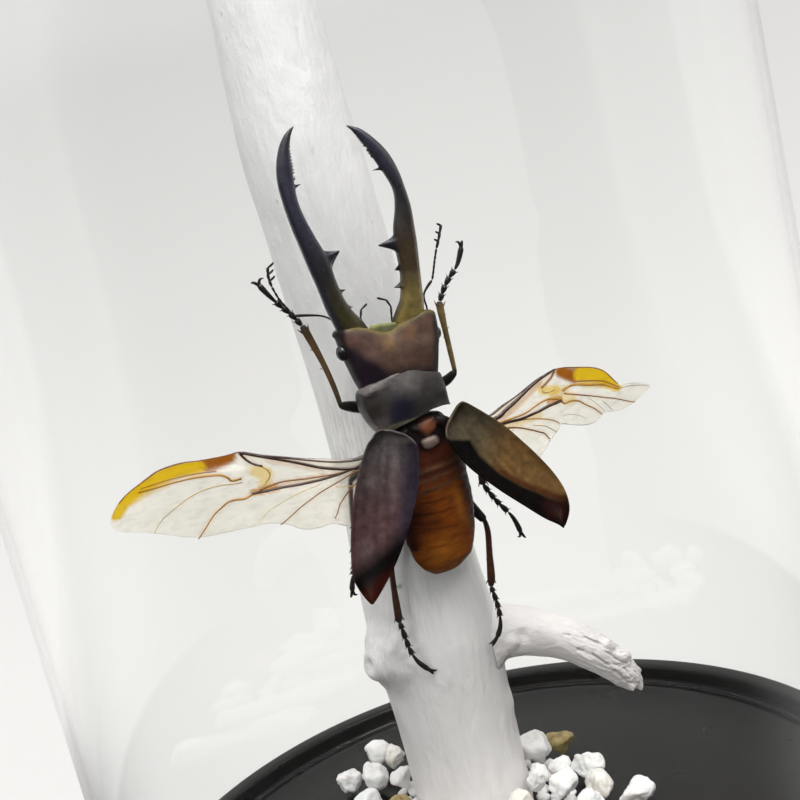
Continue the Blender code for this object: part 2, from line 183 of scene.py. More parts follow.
def join(material, start, end):
    material.node_tree.links.new(start, end)


def feed(material, socket, value):
    """Join a value to one of the shader's own sockets."""
    join(material, value, material.node_tree.nodes["Principled BSDF"].inputs[socket])


def own_places(material, stretch=(1.0, 1.0, 1.0), turn=(0.0, 0.0, 0.0)):
    """Places on the piece in metres, each axis divided by its stretch."""
    places = add_node(material, "TexCoord")
    mapping = add_node(material, "Mapping")
    mapping.inputs["Rotation"].default_value = [math.radians(angle) for angle in turn]
    mapping.inputs["Scale"].default_value = [1.0 / share for share in stretch]
    join(material, places.outputs["Object"], mapping.inputs["Vector"])
    return mapping.outputs["Vector"]


def mottle(material, size, detail=3.0, stretch=(1.0, 1.0, 1.0), turn=(0.0, 0.0, 0.0), rough=0.5):
    """Cloudy unevenness of a size in millimetres, as a value from 0 to 1."""
    texture = add_node(material, "TexNoise")
    texture.inputs["Scale"].default_value = 1.0 / (size * MM)
    texture.inputs["Detail"].default_value = detail
    texture.inputs["Roughness"].default_value = rough
    join(material, own_places(material, stretch, turn), texture.inputs["Vector"])
    return texture.outputs["Fac"]


def cells(material, size, feature="F1", stretch=(1.0, 1.0, 1.0)):
    """Distance to scattered points a size in millimetres apart."""
    texture = add_node(material, "TexVoronoi", feature=feature)
    texture.inputs["Scale"].default_value = 1.0 / (size * MM)
    join(material, own_places(material, stretch), texture.inputs["Vector"])
    return texture.outputs["Distance"]


def steps(material, value, stops):
    """Turn a value into a colour or a grey through (place, colour or grey) stops."""
    ramp = add_node(material, "ValToRGB")
    marks = ramp.color_ramp.elements
    while len(marks) < len(stops):
        marks.new(0.5)
    for mark, (place, colour) in zip(marks, stops):
        mark.position = place
        mark.color = (*colour, 1.0) if isinstance(colour, tuple) else (colour, colour, colour, 1.0)
    join(material, value, ramp.inputs["Fac"])
    return ramp.outputs["Color"]


def blend_colours(material, share, first, second, blend_type="MIX"):
    """Mix two colours; share, first and second are sockets or plain values."""
    mixer = add_node(material, "Mix", data_type="RGBA", blend_type=blend_type)
    for index, value in ((0, share), (6, first), (7, second)):
        if isinstance(value, tuple):
            mixer.inputs[index].default_value = (*value, 1.0)
        elif isinstance(value, float):
            mixer.inputs[index].default_value = value
        else:
            join(material, value, mixer.inputs[index])
    return mixer.outputs[2]


def relief(material, height, depth, under=None):
    """Bump the shader's surface by a height from 0 to 1, over a depth in millimetres."""
    bump = add_node(material, "Bump")
    bump.inputs["Strength"].default_value = 1.0
    bump.inputs["Distance"].default_value = depth * MM
    join(material, height, bump.inputs["Height"])
    if under is not None:
        join(material, under, bump.inputs["Normal"])
    feed(material, "Normal", bump.outputs["Normal"])
    return bump.outputs["Normal"]


def cover(piece, material):
    """Give a piece its one material."""
    piece.data.materials.clear()
    piece.data.materials.append(material)


scene = bpy.context.scene
scene.view_settings.view_transform = "Standard"
deselect()
bpy.ops.object.camera_add(location=Vector(EYE) * MM)
camera = bpy.context.object
camera.rotation_euler = (Matrix.Rotation(math.radians(90.0 - EYE_DOWN), 3, "X")
                         @ Matrix.Rotation(math.radians(EYE_ROLL), 3, "Z")).to_euler()
camera.data.lens = LENS
camera.data.sensor_width = SENSOR
camera.data.clip_start = 0.01
camera.data.dof.use_dof = False
scene.camera = camera

deselect()
bpy.ops.mesh.primitive_circle_add(vertices=96, radius=CARD_RADIUS, fill_type="NGON")
card = start_shape("card")
bpy.ops.mesh.inset(thickness=0.9)
bpy.ops.mesh.select_all(action="DESELECT")
select_points(card, lambda place: place.length > CARD_RADIUS - 0.01)
for i in range(CARD_STEPS):
    low, high = (math.radians(90.0 * step / CARD_STEPS) for step in (i, i + 1))
    wider = (CARD_RADIUS + CARD_BEND * math.sin(high)) / (CARD_RADIUS + CARD_BEND * math.sin(low))
    bpy.ops.mesh.extrude_edges_move(TRANSFORM_OT_translate={
        "value": (0.0, 0.0, CARD_BEND * (math.cos(low) - math.cos(high)))})
    bpy.ops.transform.resize(value=(wider, wider, 1.0), center_override=(0.0, 0.0, 0.0))
bpy.ops.mesh.extrude_edges_move(TRANSFORM_OT_translate={"value": (0.0, 0.0, CARD_WALL)})
close_up()
smooth_skin(card, 0)
card_finish = new_finish("pale_card", CARD_COLOUR, 0.85, Specular_IOR_Level=0.0,
                         Emission_Color=CARD_WARMTH)
relief(card_finish, mottle(card_finish, 3.0), 0.02)
# The glass takes an eighth of the card's light. Past the glass the card glows as much less.
path = add_node(card_finish, "LightPath")
dimmer = add_node(card_finish, "MapRange")
dimmer.inputs["To Min"].default_value = CARD_GLOW * PAST_THE_GLASS
dimmer.inputs["To Max"].default_value = CARD_GLOW
join(card_finish, path.outputs["Transmission Depth"], dimmer.inputs["Value"])
feed(card_finish, "Emission Strength", dimmer.outputs["Result"])
# The glass shows no card from in front of it, where the viewer's dark side of the room is.
axes = add_node(card_finish, "SeparateXYZ")
join(card_finish, own_places(card_finish), axes.inputs[0])
before = add_node(card_finish, "MapRange")
before.inputs["From Min"].default_value = 0.15
before.inputs["From Max"].default_value = 0.05
join(card_finish, axes.outputs["Y"], before.inputs["Value"])
seen = add_node(card_finish, "Math", operation="MULTIPLY", use_clamp=True)
join(card_finish, path.outputs["Glossy Depth"], seen.inputs[0])
join(card_finish, before.outputs["Result"], seen.inputs[1])
unseen = add_node(card_finish, "BsdfTransparent").outputs["BSDF"]
choice = add_node(card_finish, "MixShader")
join(card_finish, seen.outputs["Value"], choice.inputs["Fac"])
card_nodes = card_finish.node_tree.nodes
join(card_finish, card_nodes["Principled BSDF"].outputs["BSDF"], choice.inputs[1])
join(card_finish, unseen, choice.inputs[2])
join(card_finish, choice.outputs["Shader"], card_nodes["Material Output"].inputs["Surface"])
cover(card, card_finish)
card.visible_diffuse = False
card.visible_shadow = False


def hang_lamp(name, place, width, energy):
    """Hang a square soft lamp with its face to the beetle."""
    bpy.ops.object.light_add(type="AREA", location=place)
    lamp = bpy.context.object
    lamp.name = name
    lamp.rotation_euler = (Vector(place) - LAMP_AIM).to_track_quat("Z", "Y").to_euler()
    lamp.data.size = width
    lamp.data.energy = energy
    return lamp


above = hang_lamp("soft_lamp", (0.36, -0.49, 1.12), 0.72, 11.5)
above.data.color = (1.0, 0.99, 0.975)
# A weak fill from the front left evens out the branch, and isn't mirrored in glass or lacquer.
fill = hang_lamp("fill_lamp", (-0.30, -0.62, 0.34), 0.5, 2.0)
fill.visible_glossy = False
fill.visible_transmission = False

# The surround is bright overhead, softer towards the back, and dark low in front of the glass,
# where the viewer stands, so that the glass doesn't veil what it covers.
world = bpy.data.worlds.new("soft_surround")
scene.world = world
world.use_nodes = True


def sky_node(kind, first, second=None, **settings):
    node = add_node(world, kind, **settings)
    join(world, first, node.inputs[0])
    if second is not None:
        join(world, second, node.inputs[1])
    return node


def sky_span(value, start, end, start_level, end_level):
    """A level that goes smoothly from one to another as a part of the direction does."""
    span = sky_node("MapRange", value, interpolation_type="SMOOTHSTEP")
    for socket, number in zip(("From Min", "From Max", "To Min", "To Max"),
                              (start, end, start_level, end_level)):
        span.inputs[socket].default_value = number
    return span.outputs["Result"]


parts = sky_node("SeparateXYZ", add_node(world, "TexCoord").outputs["Generated"])
overhead = sky_span(parts.outputs["Z"], 0.05, 0.85, 0.42, 1.25)
in_front = sky_span(parts.outputs["Y"], 0.25, -0.45, 0.0, 1.0)
down_low = sky_span(parts.outputs["Z"], 0.18, 0.50, 1.0, 0.0)
viewer = sky_node("Math", in_front, down_low, operation="MULTIPLY").outputs["Value"]
unshaded = sky_span(viewer, 0.0, 1.0, 1.0, 0.04)
brightness = sky_node("Math", overhead, unshaded, operation="MULTIPLY").outputs["Value"]
background = world.node_tree.nodes["Background"]
join(world, brightness, background.inputs["Strength"])
background.inputs["Color"].default_value = (1.0, 0.99, 0.98, 1.0)


# --------
# The base: one disc of wood, turned from the solid with a rounded rim round a sunk flat deck,
# and covered in black lacquer that is satin rather than mirror bright. The glass dome stands on
# the deck, just inside the rim.
BASE_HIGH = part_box("base")[1]
BASE_RADIUS = BASE_HIGH.x / MM
BASE_HEIGHT = BASE_HIGH.z / MM
DECK_HEIGHT = BASE_HEIGHT - 3.5
RIM_WIDTH = 5.0
RIM_ROUNDING = 2.4
RIM_FULLNESS = 0.45


def turn_rings(name, profile, sides):
    """Extrude a filled ring up through a profile of (radius, height), as on a lathe."""
    deselect()
    radius, height = profile[0]
    bpy.ops.mesh.primitive_circle_add(vertices=sides, radius=radius * MM, fill_type="NGON",
                                      location=(0.0, 0.0, height * MM))
    piece = start_shape(name)
    for (radius, height), (next_radius, next_height) in zip(profile, profile[1:]):
        bpy.ops.mesh.extrude_region_move(TRANSFORM_OT_translate={
            "value": (0.0, 0.0, (next_height - height) * MM)})
        share = next_radius / radius
        bpy.ops.transform.resize(value=(share, share, 1.0), center_override=(0.0, 0.0, 0.0))
    face_out()
    return piece


def carry(piece, node):
    """Let a finished piece stand for its CAD node."""
    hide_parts(node)
    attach(piece, "root")


rim_middle = BASE_RADIUS - RIM_WIDTH / 2
rim_foot = BASE_HEIGHT - RIM_ROUNDING
rim_arc = []
for angle in range(0, 181, 12):
    across, up = math.cos(math.radians(angle)), math.sin(math.radians(angle))
    rim_arc.append((rim_middle + RIM_WIDTH / 2 * math.copysign(abs(across) ** RIM_FULLNESS, across),
                    rim_foot + RIM_ROUNDING * abs(up) ** RIM_FULLNESS))
deck_edge = BASE_RADIUS - RIM_WIDTH
base_profile = [(BASE_RADIUS - 3.0, 0.0), (BASE_RADIUS - 2.4, 0.0), (BASE_RADIUS - 1.0, 0.5),
                (BASE_RADIUS - 0.2, 1.6), (BASE_RADIUS, 2.8), *rim_arc,
                (deck_edge, DECK_HEIGHT + 0.4), (deck_edge - 0.1, DECK_HEIGHT + 0.1),
                (deck_edge - 0.4, DECK_HEIGHT), (60.0, DECK_HEIGHT), (30.0, DECK_HEIGHT)]
base = turn_rings("black_base", base_profile, 192)
smooth_skin(base, 0, edge_angle=35.0)

lacquer = new_finish("black_lacquer", (0.005, 0.0045, 0.0045), 0.3, Coat_Weight=0.08,
                     Coat_Roughness=0.12, Specular_IOR_Level=0.2)
feed(lacquer, "Roughness", steps(lacquer, mottle(lacquer, 9.0, 5.0), [(0.3, 0.27), (0.7, 0.33)]))
dust = steps(lacquer, cells(lacquer, 3.1), [(0.0, 0.5), (0.02, 0.3), (0.035, 0.0)])
film = steps(lacquer, mottle(lacquer, 24.0, 4.0), [(0.3, (0.003, 0.0028, 0.0028)),
                                                  (0.7, (0.006, 0.0052, 0.005))])
feed(lacquer, "Base Color", blend_colours(lacquer, dust, film, (0.16, 0.155, 0.15)))
relief(lacquer, mottle(lacquer, 6.0, 2.0), 0.006)
cover(base, lacquer)
carry(base, "base")


# --------
# The branch: a barked stick of wood that stands upright on the deck, dipped and brushed with
# white satin paint, so that the grain still shows in it. Low on its left is the ringed scar of a
# lost limb. Its top is sawn off flat inside the dome.
BRANCH_Y = 20.0
TRUNK_STATIONS = [
    (-4.7, 14.85, 12.9), (-4.7, 32.0, 12.8), (-4.7, 46.0, 13.2), (-4.6, 57.0, 13.9),
    (-4.8, 66.0, 13.6), (-5.0, 77.0, 13.0), (-5.0, 98.0, 11.8), (-5.6, 122.0, 11.9),
    (-6.6, 147.0, 12.2), (-7.8, 167.0, 11.9), (-8.2, 194.0, 10.4), (-9.0, 211.7, 9.8),
]
SCAR = Vector((-16.2, 12.2, 57.0))
SCAR_INWARD = Vector((-4.6, BRANCH_Y, 57.0))


def clamp(value, low=0.0, high=1.0):
    return min(high, max(low, value))


def soften(stations, between):
    """Put stations between those given, on a smooth curve through them."""
    rows = []
    last = len(stations) - 1
    for i in range(last):
        corners = [stations[clamp(i + shift, 0, last)] for shift in (-1, 0, 1, 2)]
        for j in range(between):
            t = j / between
            rows.append(tuple(
                b + 0.5 * t * (c - a + t * (2 * a - 5 * b + 4 * c - d + t * (3 * b - a - 3 * c + d)))
                for a, b, c, d in zip(*corners)))
    rows.append(tuple(stations[-1]))
    return rows


def swing(turn, middle, axis="Y"):
    """Turn what is selected about an axis through its middle."""
    bpy.ops.transform.rotate(value=-turn, orient_axis=axis, orient_type="GLOBAL", center_override=middle)


def draw_tube(name, stations, sides, between=1):
    """Extrude a filled ring along stations of (x, y, z, half width, half depth) in millimetres,
    softened. The rings stand square to the path as seen from the front, along Y."""
    stations = soften(stations, between)
    last = len(stations) - 1
    headings = []
    for i in range(last + 1):
        before, after = stations[max(i - 1, 0)], stations[min(i + 1, last)]
        headings.append(math.atan2(after[0] - before[0], after[2] - before[2]))
    x, y, z, width, depth = stations[0]
    deselect()
    bpy.ops.mesh.primitive_circle_add(vertices=sides, radius=width * MM, fill_type="NGON",
                                      location=(x * MM, y * MM, z * MM))
    piece = start_shape(name)
    middle = Vector((x, y, z)) * MM
    bpy.ops.transform.resize(value=(1.0, depth / width, 1.0), center_override=middle)
    swing(headings[0], middle)
    for i in range(1, last + 1):
        x, y, z, next_width, next_depth = stations[i]
        move = Vector((x, y, z)) * MM - middle
        middle = middle + move
        bpy.ops.mesh.extrude_region_move(TRANSFORM_OT_translate={"value": move})
        turn = (headings[i] - headings[i - 1] + math.pi) % math.tau - math.pi
        if abs(turn) > 0.001:
            swing(turn, middle)
        wider = next_width / width
        bpy.ops.transform.resize(value=(wider, next_depth / depth, wider), center_override=middle)
        width, depth = next_width, next_depth
    face_out()
    return piece


def pull(piece, place, move, reach):
    """In edit mode, drag the point nearest a place, and the skin round it less and less."""
    bpy.ops.mesh.select_all(action="DESELECT")
    bpy.ops.mesh.select_mode(type="VERT")
    mesh = bmesh.from_edit_mesh(piece.data)
    target = Vector(place) * MM
    min(mesh.verts, key=lambda point: (point.co - target).length_squared).select = True
    mesh.select_flush(True)
    bmesh.update_edit_mesh(piece.data)
    bpy.ops.transform.translate(value=Vector(move) * MM, use_proportional_edit=True,
                                proportional_edit_falloff="SMOOTH", proportional_size=reach * MM)


def displace(piece, place, turn, scale, **settings):
    """Push the skin in and out by clouds of unit size, placed, turned and scaled by a guide."""
    deselect()
    bpy.ops.object.empty_add(location=place, rotation=(0.0, math.radians(turn), 0.0))
    guide = bpy.context.object
    guide.scale = scale
    bpy.context.view_layer.update()
    clouds = bpy.data.textures.new(piece.name + "_clouds", "CLOUDS")
    clouds.noise_scale = 1.0
    use_modifier(piece, "DISPLACE", texture=clouds, texture_coords="OBJECT",
                 texture_coords_object=guide, mid_level=0.5, **settings)
    bpy.data.objects.remove(guide)


def roughen(piece, size, depth, stretch=(1.0, 1.0, 1.0), where=None, turn=0.0):
    """Push the skin in and out by clouds of a size and depth in millimetres, stretched along an
    axis as grain is. where gives each place's share, from 0 to 1."""
    settings = {"strength": depth * MM}
    if where is not None:
        group = piece.vertex_groups.new(name="rough_here")
        for point in piece.data.vertices:
            group.add([point.index], where(point.co / MM), "REPLACE")
        settings["vertex_group"] = group.name
    displace(piece, (0.0, 0.0, 0.0), turn, [size * MM * share for share in stretch], **settings)
    piece.vertex_groups.clear()


def near(place, spot, reach):
    """1 at a spot, falling smoothly to 0 at its reach."""
    share = max(0.0, 1.0 - (Vector(place) - Vector(spot)).length / reach)
    return share * share * (3.0 - 2.0 * share)


def tint(piece, layer, rule):
    """Store a colour for each point of a piece, given by a rule of its place in millimetres."""
    mesh = piece.data
    colours = mesh.color_attributes.new(layer, "FLOAT_COLOR", "POINT")
    values = []
    for point in mesh.vertices:
        values.extend((*rule(point.co / MM), 1.0))
    colours.data.foreach_set("color", values)


def stored_colour(material, layer):
    attribute = add_node(material, "Attribute", attribute_name=layer)
    return attribute.outputs["Color"]


trunk = draw_tube("branch", [(x, BRANCH_Y, z, radius, radius) for x, z, radius in TRUNK_STATIONS],
                  48, 4)
open_up(trunk)
select_faces(trunk, lambda middle, normal: abs(normal.z) > 0.9)
bpy.ops.mesh.inset(thickness=0.9 * MM, depth=0.0)
bpy.ops.mesh.inset(thickness=1.6 * MM, depth=0.0)
close_up()
smooth_skin(trunk, 1)
open_up(trunk)
outward = (SCAR - SCAR_INWARD).normalized()
sideways = Vector((outward.y, -outward.x, 0.0))
# The scar: a swelling, its ring, the hollow in the ring, and three small folds round it, each as
# how far outward, sideways and up it lies, how far it stands out, and its reach.
for out, aside, up, rise, reach in ((0.0, 0.0, 1.0, 3.8, 9.0), (3.2, 0.0, 0.5, 2.0, 4.8),
                                    (4.8, 0.0, 0.5, -3.2, 2.8), (0.0, 5.0, 4.0, 0.9, 3.4),
                                    (0.0, -6.0, 5.5, 0.8, 3.0), (0.0, 3.4, -5.6, 0.8, 3.0)):
    pull(trunk, SCAR + outward * out + sideways * aside + Vector((0, 0, up)), outward * rise, reach)
pull(trunk, (8.4, 17.5, 40.0), (0.8, -0.3, 0.0), 3.6)
pull(trunk, (5.0, 30.0, 90.0), (0.8, 0.8, 0.0), 8.0)
pull(trunk, (-13.0, 29.0, 130.0), (-0.9, 0.7, 0.0), 9.0)
close_up()
roughen(trunk, 16.0, 1.0, (1.0, 1.0, 3.2))
smooth_skin(trunk, 1)
roughen(trunk, 4.2, 0.55, (1.0, 1.0, 4.5))
roughen(trunk, 2.0, 0.9, (1.0, 1.0, 1.5),
        where=lambda place: near(place, SCAR + Vector((3.0, -2.0, 3.0)), 15.0))
roughen(trunk, 1.3, 0.16, (1.0, 1.0, 7.0))
smooth_skin(trunk, 0)

PAINT_SPECKS = [(-5.0, 8.4, 162.7), (-9.0, 7.5, 74.3), (8.7, 17.0, 74.0), (-13.0, 11.0, 51.0)]


def worn_paint(place):
    """Red: grey wood grain showing through. Green: dark specks, and on the limb painted shade in its splits.
    Blue: painted shade, darker and warmer low on the left and towards the bottom.
    """
    streaked = 0.6 * near(place, (-13.0, 10.0, 106.0), 16.0) + 0.4 * near(place, (-12.0, 11.0, 86.0), 12.0)
    scarred = 0.5 * near(place, SCAR, 11.0) + 0.3 * near(place, (-8.0, 8.0, 68.0), 12.0)
    specks = max(near(place, speck, 0.75) for speck in PAINT_SPECKS)
    # Painted shade: darker low on the left and towards the bottom of the branch.
    painted_shade = max(0.7 * near(place, (-14.0, 12.0, 48.0), 22.0), clamp((78.0 - place.z) / 40.0, 0.0, 0.7))
    return min(1.0, streaked + scarred), specks, painted_shade


tint(trunk, "paint_wear", worn_paint)


def white_paint(name, grain_stretch, wrinkle_stretch, grain_turn=(0.0, 0.0, 0.0)):
    """Brushed satin paint: brush lines and wood grain in relief, grey where it is thin, with painted shade
    where the stored blue asks for it.
    """
    paint = new_finish(name, (0.8, 0.79, 0.775), 0.45, Coat_Weight=0.15, Coat_Roughness=0.3)
    # The stored layer holds wear in red, specks and painted shade in the splits in green, and painted shade
    # in blue.
    wear = add_node(paint, "SeparateColor")
    join(paint, stored_colour(paint, "paint_wear"), wear.inputs["Color"])
    fine_grain = mottle(paint, 0.55, 4.0, grain_stretch, grain_turn, rough=0.6)
    broad_grain = mottle(paint, 2.4, 5.0, grain_stretch, grain_turn, rough=0.6)
    brushed = steps(paint, broad_grain, [(0.30, (0.84, 0.835, 0.825)), (0.52, (0.87, 0.865, 0.86)),
                                         (0.72, (0.90, 0.895, 0.89))])
    thin = steps(paint, fine_grain, [(0.40, 1.0), (0.56, 0.0)])
    thin = blend_colours(paint, 1.0, thin, wear.outputs["Red"], "MULTIPLY")
    colour = blend_colours(paint, thin, brushed, (0.50, 0.495, 0.49))
    # Painted shade: the stored blue darkens the paint to a warm grey.
    painted_shade = blend_colours(paint, 1.0, colour, (0.84, 0.81, 0.80), "MULTIPLY")
    colour = blend_colours(paint, wear.outputs["Blue"], colour, painted_shade)
    pits = steps(paint, cells(paint, 4.6, stretch=(1.0, 1.0, 1.8)), [(0.0, 0.7), (0.045, 0.45),
                                                                     (0.07, 0.0)])
    colour = blend_colours(paint, pits, colour, (0.45, 0.44, 0.43))
    # Dark specks, and on the limb painted shade in the splits.
    colour = blend_colours(paint, wear.outputs["Green"], colour, (0.16, 0.155, 0.15))
    feed(paint, "Base Color", colour)
    feed(paint, "Roughness", steps(paint, broad_grain, [(0.3, 0.52), (0.7, 0.38)]))
    wrinkled = relief(paint, mottle(paint, 1.7, 3.0, wrinkle_stretch, grain_turn, rough=0.55), 0.30)
    under = relief(paint, fine_grain, 0.08, wrinkled)
    relief(paint, mottle(paint, 0.9, 5.0, rough=0.65), 0.07, under)
    return paint


cover(trunk, white_paint("white_branch_paint", (1.0, 1.0, 9.0), (1.0, 1.0, 2.6)))
carry(trunk, "branch_trunk")


# --------
# The side limb: the stub of the branch's one fork, which leaves it to the right and droops. It
# was snapped off, so its end is a ragged chisel with long splits, all under the same paint.
LIMB_STATIONS = [
    (6.6, 54.6, 8.6), (8.6, 54.6, 7.0), (10.8, 54.4, 5.9), (14.7, 53.5, 5.3), (19.6, 51.4, 4.8),
    (24.1, 48.8, 4.5), (28.4, 45.0, 4.3), (32.0, 41.1, 3.8), (34.3, 38.0, 3.1), (35.9, 35.0, 1.6),
]
# start, end, width, depth of each split, seen from the front
LIMB_SPLITS = [
    ((22.3, 52.4), (23.8, 51.6), 0.24, 0.3), ((26.8, 50.2), (29.4, 48.0), 0.26, 0.4),
    ((24.6, 48.5), (25.6, 47.8), 0.32, 0.6), ((27.4, 46.6), (30.4, 43.0), 0.30, 0.5),
    ((30.6, 46.0), (32.6, 43.4), 0.24, 0.4), ((31.4, 41.6), (33.2, 38.6), 0.26, 0.5),
    ((33.6, 41.0), (35.0, 38.4), 0.22, 0.4),
]
limb = draw_tube("side_limb_stub", [(x, BRANCH_Y, z, radius, radius * 1.04)
                                    for x, z, radius in LIMB_STATIONS], 48, 5)
smooth_skin(limb, 1)
open_up(limb)
for spot, move, reach in (
        ((11.0, 14.6, 54.0), (0.5, -0.7, 0.0), 2.4), ((13.4, 15.0, 55.0), (-0.2, 0.6, 0.0), 2.2),
        ((31.0, 17.6, 47.0), (0.6, -0.4, 0.9), 2.4), ((34.5, 18.0, 43.0), (1.0, -0.2, 0.7), 2.6),
        ((36.0, 19.5, 36.0), (0.2, 0.0, -1.9), 1.6), ((36.5, 21.0, 38.0), (1.0, 0.3, -0.6), 1.4),
        ((34.6, 17.6, 36.6), (0.0, -0.3, -1.3), 1.3)):
    pull(limb, spot, move, reach)
close_up()
roughen(limb, 5.0, 0.7, (2.0, 1.0, 1.0), turn=38.0)


def off_line(place, start, end):
    """How far a place lies from a straight line between two points, seen from the front."""
    start, end, place = Vector(start), Vector(end), Vector((place[0], place[-1]))
    along = end - start
    share = clamp((place - start).dot(along) / along.length_squared)
    return (place - start - along * share).length


smooth_skin(limb, 1)
for start, end, width, depth in LIMB_SPLITS:
    open_up(limb)
    select_points(limb, lambda place: place.y < BRANCH_Y * MM
                  and off_line(place / MM, start, end) < width * 0.5)
    bpy.ops.transform.translate(value=(0.0, depth * MM, 0.0), use_proportional_edit=True,
                                proportional_edit_falloff="SHARP", proportional_size=0.5 * MM)
    close_up()
roughen(limb, 1.0, 0.75, (6.0, 1.0, 1.0), turn=42.0,
        where=lambda place: clamp((place.x - 19.0) / 8.0, 0.12))
roughen(limb, 0.55, 0.4, (7.0, 1.0, 1.0), turn=42.0,
        where=lambda place: clamp((place.x - 22.0) / 6.0, 0.1))
smooth_skin(limb, 0)


def split_wood(place):
    """Worn paint of the limb, greyer towards the ragged end, with painted shade dark in the splits and
    painted shade over the whole limb.
    """
    inside = 0.0
    for start, end, width, depth in LIMB_SPLITS:
        if place.y < BRANCH_Y:
            inside = max(inside, 0.8 * depth * (1.0 - off_line(place, start, end) / width))
    ragged = clamp((place.x - 24.0) / 10.0) * 0.8
    # Painted shade: dark in the splits (green), and the blue shade over all of the limb.
    return ragged, min(0.75, inside), 1.0


tint(limb, "paint_wear", split_wood)
cover(limb, white_paint("white_limb_paint", (7.0, 1.0, 1.0), (3.5, 1.0, 1.0), (0.0, 38.0, 0.0)))
carry(limb, "side_limb")


# --------
# The pebbles: chunky white garden stones with softened edges and a few ochre ones, heaped round
# the foot of the branch and glued where they lie. Each large one is a stone of its own. Small
# ones lie under and between them.
STONE_SHAPES = 9
STONE_SEED = 11


def cut_stone(name, dice, cuts, grain):
    """Cut a ball of unit size down with random flat cuts, as a stone breaks, and wear it round."""
    deselect()
    bpy.ops.mesh.primitive_ico_sphere_add(subdivisions=3, radius=0.5)
    stone = start_shape(name)
    for _ in range(cuts):
        facing = Vector([dice.gauss(0.0, 1.0) for _ in range(3)]).normalized()
        bpy.ops.mesh.select_all(action="SELECT")
        bpy.ops.mesh.bisect(plane_co=facing * dice.uniform(0.26, 0.40), plane_no=facing,
                            use_fill=True, clear_outer=True)
    face_out()
    use_modifier(stone, "REMESH", mode="VOXEL", voxel_size=grain)
    use_modifier(stone, "SMOOTH", factor=0.5, iterations=7)
    return stone


def twin(master):
    """Copy a piece with its mesh, and pick the copy up."""
    piece = master.copy()
    piece.data = master.data.copy()
    scene.collection.objects.link(piece)
    pick_up(piece)
    return piece


def set_stone(master, name, low, high, dice):
    """Copy a stone, turn it over at random and fit it into the space from low to high."""
    stone = twin(master)
    rename(name)
    stone.rotation_euler = [dice.uniform(0.0, math.tau) for _ in range(3)]
    bpy.ops.object.transform_apply(rotation=True)
    corners = [[corner[axis] for corner in stone.bound_box] for axis in range(3)]
    stone.scale = [(high[axis] - low[axis]) / (max(corners[axis]) - min(corners[axis]))
                   for axis in range(3)]
    bpy.ops.object.transform_apply(scale=True)
    corners = [[corner[axis] for corner in stone.bound_box] for axis in range(3)]
    stone.location = [low[axis] - min(corners[axis]) for axis in range(3)]
    bpy.ops.object.transform_apply(location=True)
    return stone


def join_pieces(name, pieces):
    deselect()
    for piece in pieces:
        piece.select_set(True)
    bpy.context.view_layer.objects.active = pieces[0]
    bpy.ops.object.join()
    return rename(name)


def stone_finish(name, colours, roughness, speckle, depth):
    """Matte broken stone with a faint crystal grain, a little darker in patches."""
    finish = new_finish(name, colours[1], roughness, Subsurface_Weight=0.12, Subsurface_Scale=0.0015)
    patches = steps(finish, mottle(finish, 3.2, 5.0, rough=0.6), list(zip((0.3, 0.5, 0.7), colours)))
    crystals = steps(finish, cells(finish, 0.5), [(0.0, 1.0), (0.16, 0.0)])
    crystals = blend_colours(finish, 1.0, crystals, (speckle, speckle, speckle), "MULTIPLY")
    feed(finish, "Base Color", blend_colours(finish, crystals, patches, colours[0]))
    under = relief(finish, mottle(finish, 0.8, 6.0, rough=0.7), depth)
    relief(finish, mottle(finish, 0.25, 3.0), depth * 0.4, under)
    return finish


WHITE_STONE = [(0.66, 0.65, 0.63), (0.78, 0.775, 0.765), (0.83, 0.825, 0.815)]
CREAM_STONE = [(0.62, 0.58, 0.50), (0.73, 0.71, 0.66), (0.79, 0.77, 0.73)]
OCHRE_STONE = [(0.14, 0.095, 0.03), (0.34, 0.26, 0.10), (0.46, 0.37, 0.16)]
white_stone = stone_finish("white_stone", WHITE_STONE, 0.75, 0.15, 0.07)
cream_stone = stone_finish("cream_stone", CREAM_STONE, 0.75, 0.2, 0.07)
ochre_stone = stone_finish("ochre_stone", OCHRE_STONE, 0.55, 0.5, 0.2)
CREAM_STONES = {"pebble_white_05", "pebble_white_12", "pebble_white_19", "pebble_white_24"}

dice = random.Random(STONE_SEED)
masters = []
for number in range(STONE_SHAPES):
    master = cut_stone("stone_shape_%d" % number, dice, 6 + number % 3, 0.035)
    displace(master, (3.0 * number, 0.0, 0.0), 0.0, (0.27, 0.27, 0.27),
             strength=0.13 + 0.04 * (number % 3))
    use_modifier(master, "SMOOTH", factor=0.5, iterations=2)
    smooth_skin(master, 0)
    masters.append(master)

pebble_nodes = sorted(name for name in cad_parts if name.startswith("pebble_")
                      and name != "pebble_bed")
for place, node in enumerate(pebble_nodes):
    low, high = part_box(node)
    stone = set_stone(masters[(place * 4) % STONE_SHAPES], node.replace("pebble", "stone"), low, high, dice)
    if "ochre" in node:
        cover(stone, ochre_stone)
        carry(stone, node)
    else:
        cover(stone, cream_stone if node in CREAM_STONES else white_stone)
        carry(stone, node)
for master in masters:
    bpy.data.objects.remove(master)

BED_LOW, BED_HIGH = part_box("pebble_bed")
BED_MIDDLE = Vector((-4.7, BRANCH_Y, 0.0))
